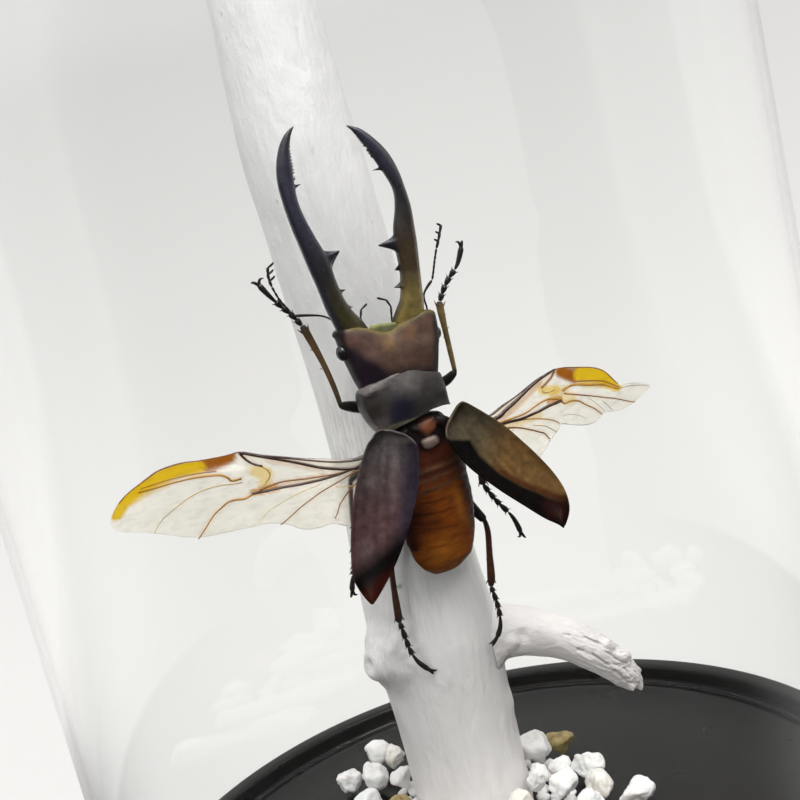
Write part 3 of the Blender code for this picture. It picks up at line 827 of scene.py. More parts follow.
# distance from the branch's middle, how many stones, their width
BED_ROWS = [(15.2, 26, 3.4), (18.3, 31, 3.2), (21.4, 38, 2.9)]
small_master = cut_stone("small_stone_shape", dice, 6, 0.16)
smooth_skin(small_master, 0)
bed_stones = []
for distance, count, size in BED_ROWS:
    for i in range(count):
        angle = math.tau * (i + dice.uniform(-0.25, 0.25)) / count
        width = size * dice.uniform(0.8, 1.1)
        middle = Vector(((BED_MIDDLE.x + distance * math.cos(angle)) * MM,
                         (BED_MIDDLE.y + distance * math.sin(angle)) * MM, BED_LOW.z))
        half = Vector((width / 2, width / 2, 0.0)) * MM
        tall = Vector((0.0, 0.0, min(width * dice.uniform(0.7, 0.9) * MM, BED_HIGH.z - BED_LOW.z)))
        bed_stones.append(set_stone(small_master, "bed_stone", middle - half, middle + half + tall, dice))
bed = join_pieces("small_stones", bed_stones)
bpy.data.objects.remove(small_master)
cover(bed, white_stone)
carry(bed, "pebble_bed")


# --------
# The beetle's hind body: thorax and abdomen grown as one shell of reddish amber plates, each
# lapping a little over the next. An orange collar with a pale tab lies between the hinges of the
# wing cases. It is dried, and held off the branch by a bead of glue.
BEETLE_PLACE = Vector((1.4, 0.5, 109.1))
BEETLE_TURN = 17.0
BEETLE_LEAN = -3.5
BEETLE = (Matrix.Translation(BEETLE_PLACE * MM) @ Matrix.Rotation(math.radians(BEETLE_TURN), 4, "Z")
          @ Matrix.Rotation(math.radians(BEETLE_LEAN), 4, "Y"))
# height, half width, back, belly, middle
HIND_SECTIONS = [
    (0.4, 4.6, -2.6, 3.2, 0.3), (-1.0, 6.2, -3.1, 4.0, 0.3), (-3.0, 7.2, -3.3, 4.8, 0.3),
    (-6.0, 7.8, -3.3, 5.2, 0.3), (-12.0, 8.0, -3.2, 5.0, 0.0), (-18.0, 7.9, -2.7, 4.6, -0.3),
    (-23.0, 7.4, -2.0, 4.2, -0.9), (-27.5, 6.3, -1.2, 3.6, -1.5), (-30.2, 4.6, -0.4, 2.8, -1.9),
    (-31.8, 2.2, 0.6, 2.0, -2.0),
]
PLATE_ENDS = [0.4, -5.4, -9.4, -12.7, -15.0, -17.4, -20.8, -24.6, -28.4, -31.8]


def read_row(rows, height):
    """The row of a table of sections at a height between two of them."""
    for above, below in zip(rows, rows[1:]):
        if below[0] <= height <= above[0]:
            share = (above[0] - height) / (above[0] - below[0])
            return [a + (b - a) * share for a, b in zip(above, below)]
    return list(rows[-1])


def oval(section, swell=0.0):
    """The tube station of a section: height, half width, back, belly, middle."""
    height, half_width, back, belly, middle = section
    return (middle, (back + belly) / 2, height, half_width + swell, (belly - back) / 2 + swell)


def reshape(piece, rule):
    """Move each point of a piece to where a rule of its place in millimetres puts it."""
    for point in piece.data.vertices:
        point.co = Vector(rule(point.co / MM)) * MM


def seat(piece, node):
    """Set a piece drawn in the beetle's frame in its place on the branch, for its CAD node."""
    pick_up(piece)
    piece.matrix_world = BEETLE
    bpy.ops.object.transform_apply(location=True, rotation=True, scale=True)
    carry(piece, node)


def hill(value, middle, width):
    """1 at a middle, falling to a third at a width either side of it."""
    return math.exp(-((value - middle) / width) ** 2)


smooth_sections = soften(HIND_SECTIONS, 8)
hind_stations = []
for start, end in zip(PLATE_ENDS, PLATE_ENDS[1:]):
    for share, swell in ((0.04, -0.04), (0.15, -0.02), (0.5, 0.0), (0.85, 0.02), (1.0, 0.02)):
        hind_stations.append(oval(read_row(smooth_sections, start + (end - start) * share), swell))
hind = draw_tube("hind_body_shell", hind_stations, 48)


def bow_plates(place):
    """The plates' rear edges curve towards the tail, and a shallow groove runs down the back of the thorax."""
    x, y, z = place
    lower = 1.3 * max(0.0, 1.0 - ((x - 0.6) / 8.0) ** 2) if -30.0 < z < -6.0 else 0.0
    fade = clamp((-z - 6.0) / 5.0) * clamp((z + 31.0) / 5.0)
    groove = 0.35 * hill(x, 0.8, 0.5) if y < 0.0 and -14.0 < z < -5.0 else 0.0
    return x, y + groove, z - lower * fade


reshape(hind, bow_plates)
smooth_skin(hind, 2)
roughen(hind, 2.2, 0.22, (2.5, 1.0, 0.6))
extras = [draw_tube("collar", [(0.9, -2.0, 0.4, 2.7, 0.5), (1.0, -3.0, -0.5, 2.9, 0.6),
                               (1.2, -3.4, -1.6, 2.3, 0.6), (1.0, -3.4, -2.6, 1.4, 0.5),
                               (0.8, -3.2, -3.4, 0.7, 0.4)], 24, 3),
          draw_tube("tab", [(1.1, -3.2, -3.5, 1.5, 0.4), (1.1, -3.7, -4.0, 2.0, 0.45),
                            (1.0, -3.8, -4.8, 1.9, 0.45), (0.9, -3.6, -5.5, 1.4, 0.4),
                            (0.9, -3.4, -5.9, 0.6, 0.3)], 24, 3)]
for side in (-1.0, 1.0):
    extras.append(draw_tube("wing_root", [
        (side * 2.6 + 0.6, -2.8, -0.8, 0.7, 0.6), (side * 4.4 + 0.5, -3.2, -1.6, 1.1, 0.9),
        (side * 6.2 + 0.3, -2.2, -3.4, 1.2, 0.8), (side * 7.8, -0.8, -4.8, 0.8, 0.6)], 16, 3))
for part in extras:
    smooth_skin(part, 1)
hind = join_pieces("hind_body_shell", [hind, *extras])

AMBER = Vector((0.185, 0.045, 0.003))
GOLD_AMBER_AND_HIGHLIGHT = Vector((0.33, 0.11, 0.012))
DARK_RED_AND_SHADOW = Vector((0.035, 0.005, 0.003))
THORAX_BROWN = Vector((0.075, 0.017, 0.008))
DUSTY_BROWN = Vector((0.115, 0.055, 0.028))
COLLAR_ORANGE = Vector((0.155, 0.050, 0.022))
THORAX_SHADE_GREY = Vector((0.032, 0.025, 0.027))
TAB_GREY = Vector((0.20, 0.15, 0.125))
NEAR_BLACK_AND_SHADE = Vector((0.010, 0.006, 0.006))


def toward(colour, other, share):
    return colour + (other - colour) * clamp(share)


def layer(colour, *coats):
    """Blend coats of (shade, share) over a colour in turn."""
    for shade, share in coats:
        colour = toward(colour, shade, share)
    return colour


def daub(colour, across, along, dabs):
    """Blend soft round dabs of (shade, strength, across, along, reach) over a colour in turn."""
    for shade, strength, middle, height, reach in dabs:
        share = strength * near((across, 0.0, along), (middle, 0.0, height), reach)
        colour = toward(colour, shade, share)
    return colour


def hind_body_colour(place):
    x, y, z = place
    colour = toward(THORAX_BROWN, AMBER, (-z - 11.0) / 4.0)
    for middle, width in ((-9.8, 0.5), (-11.6, 0.35), (-13.6, 0.35)):
        colour = toward(colour, DUSTY_BROWN, 0.9 * hill(z, middle, width))
    for line in PLATE_ENDS[1:-1]:
        bowed = line - 1.2 * max(0.0, 1.0 - ((x - 0.6) / 8.0) ** 2) if line < -8.0 else line
        bowed += 0.5 * noise.noise(Vector((x * 0.35, line, 0.0)))
        faint = 0.22 + 0.4 * noise.noise(Vector((x * 0.22, line * 3.0, 5.0)))
        colour = toward(colour, DARK_RED_AND_SHADOW, faint * hill(z, bowed, 0.3))
    collar_share = 1.5 if z > -4.3 and y < -2.0 else 0.0
    tab_share = 2.6 if z > -6.4 and y < -3.35 else 0.0
    return layer(
        # Painted highlight: a gold streak down the abdomen's right side.
        colour, (GOLD_AMBER_AND_HIGHLIGHT, 0.9 * hill(x, 3.6, 1.1) * near((0, 0, z), (0, 0, -18.5), 7.0)),
        (GOLD_AMBER_AND_HIGHLIGHT, 0.7 * near(place, (-2.0, -1.0, -27.5), 6.5)),
        # Painted shadow of the left wing case, dark red on the abdomen's left.
        (DARK_RED_AND_SHADOW, 0.9 * near(place, (-6.0, -1.0, -18.5), 7.5)),
        (DARK_RED_AND_SHADOW, 0.95 * (abs(x + 0.5) - 5.2) / 1.4 if z > -25.0 else 0.0),
        # Painted shade: darker towards the belly, which faces the branch.
        (NEAR_BLACK_AND_SHADE, 0.9 * (y - 0.5) / 2.0),
        # Painted shade: dark grey and black round the collar, between the wing cases.
        (THORAX_SHADE_GREY, 0.9 * (abs(x - 0.8) - 3.2) if z > -6.4 else 0.0),
        (NEAR_BLACK_AND_SHADE, 0.75 * (z + 6.2) / 1.4),
        (COLLAR_ORANGE, collar_share * near(place, (1.6, -3.8, -1.5), 2.5)),
        (TAB_GREY, tab_share * near(place, (0.9, -4.3, -4.9), 2.4)),
        # Painted shade just beyond the end of the tab.
        (NEAR_BLACK_AND_SHADE, 0.9 * near(place, (0.9, -3.4, -6.9), 0.7)))


tint(hind, "plate_colour", hind_body_colour)


def shell_finish(name, roughness, coat, fine, depth, stretch=(1.0, 1.0, 1.0), **settings):
    """Dried insect shell: its stored colour, which holds painted shade and highlights, clouded, over fine
    pitting and wrinkles.
    """
    finish = new_finish(name, (0.1, 0.05, 0.03), roughness, Coat_Weight=coat, Coat_Roughness=0.22,
                        **settings)
    clouds = mottle(finish, 1.6, 5.0, stretch, rough=0.6)
    shade = steps(finish, clouds, [(0.3, 0.62), (0.5, 0.95), (0.7, 1.3)])
    stored = stored_colour(finish, "plate_colour")
    feed(finish, "Base Color", blend_colours(finish, 1.0, stored, shade, "MULTIPLY"))
    feed(finish, "Roughness", steps(finish, clouds, [(0.3, roughness * 1.2), (0.7, roughness * 0.85)]))
    under = relief(finish, mottle(finish, fine, 4.0, stretch, rough=0.6), depth)
    relief(finish, mottle(finish, fine * 6.0, 3.0, stretch), depth * 4.0, under)
    return finish


cover(hind, shell_finish("amber_cuticle", 0.36, 0.03, 0.3, 0.02, (2.2, 1.0, 0.8),
                         Specular_IOR_Level=0.14, Subsurface_Weight=0.06, Subsurface_Scale=0.001))
seat(hind, "hind_body")


# --------
# The glue bead: a drop of clear adhesive, hard now, between the beetle's chest and the branch. It
# is drawn upright and then tipped over.
# distance behind the beetle's middle, radius
BEAD_STATIONS = [(5.2, 2.6), (5.9, 2.1), (7.0, 1.8), (7.9, 2.3), (8.6, 3.0)]
bead = draw_tube("glue_bead_drop", [(0.1, -6.5, depth, radius, radius)
                                    for depth, radius in BEAD_STATIONS], 24, 3)
reshape(bead, lambda place: (place.x, place.z, place.y))
open_up(bead)
face_out()
smooth_skin(bead, 1)
roughen(bead, 1.8, 0.3)
glue = new_finish("clear_glue", (0.86, 0.84, 0.78), 0.15, Transmission_Weight=0.7, IOR=1.48)
feed(glue, "Base Color", steps(glue, mottle(glue, 0.8),
                               [(0.3, (0.80, 0.77, 0.68)), (0.7, (0.9, 0.89, 0.85))]))
relief(glue, mottle(glue, 0.6), 0.05)
cover(bead, glue)
seat(bead, "glue_bead")


# --------
# The pronotum: the shield behind the head, one hard plate wrapped round the front of the thorax,
# dusky grey-brown with a violet sheen in its middle and a fine raised rim before and behind.
# height, left, right, back, belly
SHIELD_SECTIONS = [
    (10.0, -8.8, 7.5, -3.7, 3.4), (9.9, -9.1, 7.7, -4.2, 3.9), (9.72, -9.3, 7.75, -4.35, 4.0),
    (9.52, -9.35, 7.7, -4.28, 3.95), (8.9, -9.6, 7.8, -4.5, 4.2), (6.6, -9.8, 7.85, -4.9, 4.5),
    (4.4, -9.6, 7.9, -5.0, 4.6), (2.4, -9.2, 8.0, -4.8, 4.5), (1.1, -8.6, 8.1, -4.5, 4.3),
    (0.65, -8.4, 8.1, -4.35, 4.2), (0.35, -8.3, 8.1, -4.45, 4.2), (0.0, -8.0, 8.0, -4.1, 3.9),
]
SHIELD_LENGTH = 10.0
# where its front and its rear edge lie: across, height
SHIELD_FRONT = [
    (-9.9, 8.6), (-9.3, 9.3), (-8.3, 8.3), (-7.4, 8.1), (-6.0, 8.3), (-4.4, 8.9), (-2.3, 9.8),
    (-0.7, 10.6), (0.6, 11.0), (2.3, 10.8), (3.9, 10.2), (6.3, 9.7), (8.1, 9.4),
]
SHIELD_REAR = [
    (-9.9, 3.4), (-8.7, 2.0), (-7.4, 1.0), (-6.5, 0.7), (-5.7, 0.95), (-3.8, 1.0), (-1.6, 0.75),
    (1.2, 0.45), (3.1, 0.45), (5.6, -0.4), (6.8, -1.0), (8.0, -2.0),
]


def middles(sections):
    """Tube stations of (height, left, right, back, belly) sections."""
    return [((left + right) / 2, (back + belly) / 2, height, (right - left) / 2, (belly - back) / 2)
            for height, left, right, back, belly in sections]


shield = draw_tube("pronotum_shield", middles(SHIELD_SECTIONS), 56)
smooth_skin(shield, 1)


def line_height(line, across):
    """The height at which a line of (across, height) points passes."""
    for (start, low), (end, high) in zip(line, line[1:]):
        if across <= end:
            return low + (high - low) * max(0.0, (across - start) / (end - start))
    return line[-1][1]


def fuller_back(place, sections):
    """Fill out the back of an oval section towards its corners."""
    height, left, right, back, belly = read_row(sections, place.z)
    level = (back + belly) / 2
    across = min(0.94, abs(place.x - (left + right) / 2) / ((right - left) / 2))
    fuller = (1.0 - across ** 4) ** 0.25 / (1.0 - across ** 2) ** 0.5
    return place.x, (place.y if place.y > level else level + (place.y - level) * fuller), place.z


def shield_edge(place):
    """Spread the shield's length between the lines of its front and its rear edge."""
    x, y, z = place
    rear = line_height(SHIELD_REAR, x)
    front = line_height(SHIELD_FRONT, x) - 0.25 * max(0.0, y + 4.2)
    return x, y, rear + (front - rear) * z / SHIELD_LENGTH


reshape(shield, lambda place: fuller_back(place, SHIELD_SECTIONS))
reshape(shield, shield_edge)
open_up(shield)
pull(shield, (-6.8, -4.4, 3.4), (0.0, 0.6, 0.0), 2.6)
pull(shield, (5.8, -4.4, 2.4), (0.0, 0.5, 0.0), 2.4)
pull(shield, (0.0, -5.0, 6.6), (0.0, -0.6, 0.0), 5.5)
close_up()
smooth_skin(shield, 1)

SHIELD_GREY = Vector((0.038, 0.034, 0.032))
SHIELD_SHEEN_PALE = Vector((0.098, 0.085, 0.082))
SHIELD_VIOLET = Vector((0.010, 0.008, 0.020))
SHIELD_BROWN = Vector((0.034, 0.024, 0.021))
UNLIT = Vector((0.0, 0.0, 0.0))
RIM_GREEN = Vector((0.10, 0.088, 0.058))
# The pale dab in the middle is a painted sheen.
SHIELD_DABS = [
    (SHIELD_SHEEN_PALE, 0.9, -0.4, 8.2, 4.2), (SHIELD_VIOLET, 1.3, -2.9, 3.6, 4.6),
    (SHIELD_VIOLET, 0.9, -3.6, 2.0, 2.6), (SHIELD_BROWN, 0.95, -8.4, 5.0, 5.2),
    (UNLIT, 0.55, -9.9, 4.5, 3.2), (UNLIT, 0.45, -7.4, 7.4, 3.2),
]


def shield_colour(place):
    x, y, z = place
    behind, ahead = z - line_height(SHIELD_REAR, x), line_height(SHIELD_FRONT, x) - z
    # Painted shade: darker towards the belly side.
    return layer(daub(SHIELD_GREY, x, z, SHIELD_DABS), (NEAR_BLACK_AND_SHADE, (y + 1.2) / 2.4),
                 (RIM_GREEN, 0.75 * (0.62 - behind) / 0.25),
                 # Painted highlight along the front rim.
                 (SHIELD_SHEEN_PALE * 1.4, 0.75 * (0.42 - ahead) / 0.2))


tint(shield, "plate_colour", shield_colour)
cover(shield, shell_finish("dusky_cuticle", 0.42, 0.04, 0.28, 0.012, Specular_IOR_Level=0.3))
seat(shield, "pronotum")


# --------
# The head: one broad capsule of bronze-brown cuticle, hollowed in front between the roots of the
# mandibles, with a small green-gold plate over the mouth and a black eye let into each side.
# height, left, right, back, belly
HEAD_SECTIONS = [
    (18.9, -9.9, 10.1, -2.4, 2.3), (18.8, -10.3, 10.5, -2.9, 2.8), (18.4, -10.3, 10.5, -3.3, 3.1),
    (17.6, -10.1, 10.3, -3.7, 3.3), (16.6, -10.0, 10.0, -4.0, 3.5), (15.6, -10.0, 9.7, -4.2, 3.7),
    (14.4, -9.8, 9.2, -4.3, 3.8), (13.0, -9.5, 8.8, -4.4, 3.9), (11.2, -9.2, 8.2, -4.3, 3.9),
    (9.0, -8.8, 7.6, -4.0, 3.7), (7.4, -8.3, 7.0, -3.8, 3.5), (5.4, -7.6, 6.2, -3.4, 3.2),
]
HEAD_TURN = -0.11
# where its front margin lies: across, height
HEAD_MARGIN = [
    (-10.6, 20.5), (-9.5, 21.2), (-8.6, 21.6), (-6.8, 21.2), (-5.2, 20.6), (-3.9, 19.95), (-2.8, 19.2),
    (-1.4, 18.45), (0.1, 18.0), (1.8, 18.4), (3.6, 18.8), (5.6, 19.4), (7.4, 19.7), (9.0, 19.5),
    (10.6, 18.6),
]
# middle of the eye, radius
EYES = [((-9.75, -1.6, 17.0), 1.35), ((9.4, -1.1, 14.6), 1.1)]
head = draw_tube("head_capsule", middles(HEAD_SECTIONS), 56)
open_up(head)
select_faces(head, lambda middle, normal: middle.z > 18.85 * MM and normal.z > 0.9)
bpy.ops.mesh.inset(thickness=0.5 * MM, depth=0.0)
close_up()
smooth_skin(head, 1)


def head_front(place):
    """Turn the head a little, and lead its front edge along the line of the margin."""
    x, y, z = place
    front = clamp((z - 14.0) / 4.4) ** 2
    wave = (line_height(HEAD_MARGIN, x) - 18.9 - HEAD_TURN * x) * (1.0 if y < 0.5 else 0.5)
    hollow = 0.6 * hill(x, 0.0, 4.4) * clamp((z - 12.6) / 4.5) if y < 0.0 else 0.0
    return x, y + hollow, z + front * wave + HEAD_TURN * x


reshape(head, lambda place: fuller_back(place, HEAD_SECTIONS))
reshape(head, head_front)
open_up(head)
pull(head, (-5.4, -4.4, 14.0), (0.0, -0.4, 0.0), 3.0)
pull(head, (5.6, -4.4, 13.0), (0.0, -0.4, 0.0), 3.0)
pull(head, (0.0, -4.3, 10.5), (0.0, -0.35, 0.0), 3.2)
close_up()
smooth_skin(head, 1)
mouth_plate = draw_tube("mouth_plate", [
    (-0.5, -1.3, 16.8, 2.9, 0.7), (-0.5, -1.5, 18.2, 2.9, 0.6), (-0.5, -1.6, 19.2, 2.8, 0.45),
    (-0.5, -1.6, 19.6, 2.6, 0.3), (-0.5, -1.6, 19.8, 2.2, 0.15)], 24, 3)
reshape(mouth_plate, lambda place: (place.x, place.y, place.z - 0.2 * (place.x + 0.7)))
smooth_skin(mouth_plate, 1)
eyes = []
for middle, size in EYES:
    middle = Vector(middle) * MM
    deselect()
    bpy.ops.mesh.primitive_uv_sphere_add(segments=24, ring_count=16, radius=size * MM, location=middle)
    eye = start_shape("eye")
    bpy.ops.transform.resize(value=(0.9, 1.0, 1.15), center_override=middle)
    close_up()
    smooth_skin(eye, 1)
    eyes.append(eye)

HEAD_BROWN = Vector((0.074, 0.040, 0.028))
HEAD_GOLD = Vector((0.165, 0.092, 0.030))
HEAD_ORANGE = Vector((0.155, 0.068, 0.028))
HEAD_SHADOW_PURPLE = Vector((0.010, 0.005, 0.010))
HEAD_PINK = Vector((0.095, 0.043, 0.035))
OLIVE_GOLD = Vector((0.155, 0.12, 0.042))
GREEN_GOLD = Vector((0.23, 0.235, 0.075))
MOUTH_OLIVE = Vector((0.12, 0.12, 0.055))
SHELL_GREY = Vector((0.024, 0.020, 0.017))
HEAD_DABS = [
    (HEAD_GOLD, 0.75, -0.9, 16.4, 2.9), (HEAD_ORANGE, 0.8, 3.3, 16.8, 2.7),
    (HEAD_PINK, 0.8, -7.4, 18.8, 1.9), (HEAD_PINK, 0.7, 8.4, 17.2, 2.2),
    (HEAD_PINK, 0.35, -4.4, 16.0, 3.2),
]


def head_colour(place):
    x, y, z = place
    # Painted shadow: the head's rear is near black behind a line that rises to the left.
    shadow = 10.6 + 1.22 * max(0.0, -2.4 - x) - 0.42 * max(0.0, x - 0.5)
    shadow += 0.6 * noise.noise(Vector((x * 0.4, z * 0.4, 2.0)))
    colour = toward(HEAD_SHADOW_PURPLE, HEAD_BROWN, (z - shadow) / 2.4 + 0.45)
    return layer(daub(colour, x, z, HEAD_DABS), (SHELL_GREY, 0.95 * (x - 5.5 - 0.32 * (z - 8.8)) / 0.8),
                 (OLIVE_GOLD, 0.8 * (z - line_height(HEAD_MARGIN, x) + 1.0) / 0.7),
                 (NEAR_BLACK_AND_SHADE, 0.97 * (-x - 8.7 + 0.5 * max(0.0, z - 19.4)) / 0.6),
                 # Painted shade towards the belly side.
                 (NEAR_BLACK_AND_SHADE, 0.9 * y / 2.0))


def mouth_plate_colour(place):
    edge = (place.z + 0.2 * (place.x + 0.7) - 19.2) / 0.5
    return toward(MOUTH_OLIVE, GREEN_GOLD, edge + 0.8 * near(place, (-2.8, -1.8, 19.6), 1.6))


tint(head, "plate_colour", head_colour)
tint(mouth_plate, "plate_colour", mouth_plate_colour)
bronze = shell_finish("bronze_cuticle", 0.48, 0.02, 0.26, 0.014, Specular_IOR_Level=0.22)
eye_black = new_finish("eye_black", (0.006, 0.006, 0.008), 0.12, Coat_Weight=0.6, Coat_Roughness=0.05)
relief(eye_black, cells(eye_black, 0.09), 0.01)
feed(eye_black, "Base Color", steps(eye_black, mottle(eye_black, 0.7),
                                    [(0.3, (0.004, 0.004, 0.006)), (0.7, (0.012, 0.010, 0.012))]))
for part in (head, mouth_plate):
    cover(part, bronze)
for eye in eyes:
    tint(eye, "plate_colour", lambda place: NEAR_BLACK_AND_SHADE)
    cover(eye, eye_black)
head = join_pieces("head_capsule", [head, mouth_plate, *eyes])
seat(head, "head")


# --------
# The mandibles: two long curved jaws of black-bronze cuticle, each grown in one with its teeth,
# a large one half way, small ones below it, and a saw edge of fine ones up to the tip.
# middle x, height, half width, half thickness
JAW_LEFT = [
    (-5.9, 18.4, 3.1, 1.2), (-6.5, 20.4, 2.9, 1.7), (-7.4, 22.8, 2.4, 2.05), (-8.3, 26.0, 2.1, 2.0),
    (-8.75, 30.0, 2.0, 1.85), (-9.1, 34.2, 2.15, 1.8), (-9.75, 38.0, 1.85, 1.65), (-10.4, 42.2, 1.6, 1.5),
    (-10.65, 46.2, 1.45, 1.4), (-10.3, 50.0, 1.6, 1.25), (-9.65, 53.0, 1.45, 1.1),
    (-8.75, 55.6, 1.05, 0.85),
    (-7.6, 57.4, 0.7, 0.55), (-6.5, 58.5, 0.34, 0.3), (-5.75, 59.0, 0.1, 0.1),
]
JAW_RIGHT = [
    (4.8, 17.8, 3.5, 1.2), (5.6, 19.8, 3.0, 1.7), (6.5, 22.2, 2.4, 2.05), (7.1, 25.2, 2.1, 2.0),
    (7.75, 28.4, 2.05, 1.85), (8.3, 32.4, 2.25, 1.8), (8.85, 35.6, 2.15, 1.65), (9.75, 39.0, 1.65, 1.5),
    (10.1, 42.6, 1.2, 1.4), (9.65, 46.0, 1.4, 1.3), (8.6, 49.4, 1.55, 1.2), (7.3, 52.4, 1.15, 1.0),
    (5.9, 54.6, 0.8, 0.75), (4.8, 55.8, 0.4, 0.4), (3.95, 56.5, 0.1, 0.1),
]
# root on the inner edge, tip, how many faces it grows from
TEETH_LEFT = [
    ((-6.95, 34.4), (-4.5, 35.25), 12), ((-6.7, 28.2), (-5.6, 28.1), 3), ((-6.3, 24.8), (-5.15, 24.5), 2),
    ((-9.0, 48.7), (-7.7, 48.9), 2),
]
TEETH_RIGHT = [
    ((6.0, 33.3), (3.0, 33.9), 12), ((5.8, 28.9), (4.7, 28.6), 2), ((5.2, 25.4), (3.55, 25.5), 3),
    ((7.6, 47.3), (6.1, 47.4), 2),
]
SAW_LEFT = ((-8.75, 49.9), (-7.6, 56.8), 13)
SAW_RIGHT = ((7.0, 49.7), (4.9, 54.9), 13)
JAW_MIDDLE = -1.5


def grow_tooth(piece, root, tip, count):
    """Draw the inner faces nearest a root out to a point, in three narrowing steps."""
    open_up(piece)
    bpy.ops.mesh.select_mode(type="FACE")
    mesh = bmesh.from_edit_mesh(piece.data)
    root, tip = Vector(root) * MM, Vector(tip) * MM
    reach = tip - root
    facing = [face for face in mesh.faces if face.normal.dot(reach.normalized()) > 0.35]
    facing.sort(key=lambda face: (face.calc_center_median() - root).length_squared)
    chosen = facing[:count]
    middle = sum((face.calc_center_median() for face in chosen), Vector()) / len(chosen)
    for face in chosen:
        face.select = True
    mesh.select_flush_mode()
    bmesh.update_edit_mesh(piece.data)
    reached = middle
    for share, narrower in ((0.35, 0.62), (0.7, 0.5), (1.0, 0.25)):
        onward = middle.lerp(tip, share)
        bpy.ops.mesh.extrude_region_move(TRANSFORM_OT_translate={"value": onward - reached})
        bpy.ops.transform.resize(value=(narrower, narrower, narrower), center_override=onward)
        reached = onward
    bpy.ops.mesh.select_mode(type="VERT")
    close_up()


def jaw_level(z):
    """How far back a jaw's middle lies: bowed along its length, and let down at its root."""
    return JAW_MIDDLE - 0.5 * math.sin(math.pi * (z - 17.8) / 41.5) + 0.24 * max(0.0, 24.0 - z)


def make_jaw(node, sections, teeth, saw, side, colour_rule):
    """Draw a jaw and grow its teeth. side is the way that its saw edge faces."""
    jaw = draw_tube(node + "_jaw", [(x, jaw_level(z), z, half, thick)
                                    for x, z, half, thick in sections], 18, 5)
    for (root_x, root_z), (tip_x, tip_z), count in teeth:
        grow_tooth(jaw, (root_x, JAW_MIDDLE - 0.3, root_z), (tip_x, JAW_MIDDLE - 0.5, tip_z), count)
    (start_x, start_z), (end_x, end_z), number = saw
    for i in range(number):
        share = i / (number - 1)
        x, z = start_x + (end_x - start_x) * share, start_z + (end_z - start_z) * share
        length = 0.45 - 0.15 * share
        grow_tooth(jaw, (x, JAW_MIDDLE - 0.3, z), (x + side * length, JAW_MIDDLE - 0.3, z + 0.1), 1)
    smooth_skin(jaw, 2)
    tint(jaw, "plate_colour", lambda place: layer(
        colour_rule(place, jaw_across(place, sections)), (JAW_EDGE_AND_SHADE, 1.2 * tooth_share(place, teeth)),
        # Painted shade on the jaw's underside.
        (JAW_EDGE_AND_SHADE, 0.7 * (place.y + 0.9) / 0.8)))
    cover(jaw, jaw_finish)
    seat(jaw, node)


JAW_BLACK = Vector((0.020, 0.019, 0.021))
JAW_VIOLET = Vector((0.036, 0.036, 0.062))
JAW_EDGE_AND_SHADE = Vector((0.006, 0.006, 0.012))
JAW_BROWN = Vector((0.055, 0.035, 0.016))
JAW_OLIVE = Vector((0.050, 0.042, 0.015))
JAW_PAINTED_REFLECTION = Vector((0.085, 0.085, 0.090))
JAW_GOLD = Vector((0.36, 0.27, 0.085))


def jaw_across(place, sections):
    """Where a place lies across a jaw, from -1 at its left edge to 1 at its right."""
    below = max((row for row in sections if row[1] <= place.z), key=lambda row: row[1],
                default=sections[0])
    above = min((row for row in sections if row[1] > place.z), key=lambda row: row[1],
                default=sections[-1])
    share = (place.z - below[1]) / max(0.001, above[1] - below[1])
    middle, half = (below[i] + (above[i] - below[i]) * share for i in (0, 2))
    return (place.x - middle) / max(0.3, half)


def tooth_share(place, teeth):
    return max(near((place.x, 0.0, place.z), (tip[0], 0.0, tip[1]), 0.9 + 0.16 * count)
               for root, tip, count in teeth)


def left_jaw_colour(place, across):
    z = place.z
    return layer(JAW_OLIVE, (JAW_BLACK, (z - 23.0) / 9.0),
                 (JAW_VIOLET, 0.9 * math.sin(math.pi * clamp((z - 33.0) / 27.0))),
                 (OLIVE_GOLD, 0.45 * near(place, (-6.0, -3.4, 21.0), 3.4)),
                 (JAW_VIOLET * 0.5, 0.9 * (-across - 0.45) / 0.3 if z < 50.0 else 0.0),
                 (JAW_EDGE_AND_SHADE, 0.8 * (across - 0.8) / 0.3))


def right_jaw_colour(place, across):
    z = place.z
    return layer(JAW_GOLD, (JAW_BROWN, (z - 20.0) / 8.0), (JAW_BLACK, (z - 31.0) / 9.0),
                 (JAW_VIOLET, 0.9 * (z - 42.0) / 8.0),
                 (JAW_GOLD, 0.5 * near(place, (4.6, -3.0, 23.0), 2.2)),
                 # Painted reflection: a grey stripe along the upper part of the right jaw.
                 (JAW_PAINTED_REFLECTION, 0.7 * hill(across, 0.45, 0.22) * clamp((z - 37.0) / 7.0)),
                 (JAW_EDGE_AND_SHADE, 0.8 * (abs(across) - 0.78) / 0.3))


jaw_finish = shell_finish("black_bronze_cuticle", 0.30, 0.45, 0.22, 0.008, Metallic=0.25)
make_jaw("mandible_left", JAW_LEFT, TEETH_LEFT, SAW_LEFT, 1.0, left_jaw_colour)
make_jaw("mandible_right", JAW_RIGHT, TEETH_RIGHT, SAW_RIGHT, -1.0, right_jaw_colour)


# --------
# The palps and antennae: thin jointed feelers of black cuticle. The antennae are elbowed, of a
# long root joint, a string of short joints and a club of three leaves at the end.
def bead_chain(name, points, thick, waist):
    """A string of joints along points of (x, y, z), each swelling towards its far end."""
    stations = []
    for start, end in zip(points, points[1:]):
        for share, width in ((0.0, waist), (0.3, 0.5 * (thick + waist)), (0.8, thick),
                             (0.97, waist * 1.1)):
            stations.append((*(a + (b - a) * share for a, b in zip(start, end)), width, width))
    stations.append((*points[-1], waist * 0.7, waist * 0.7))
    return draw_tube(name, stations, 10)


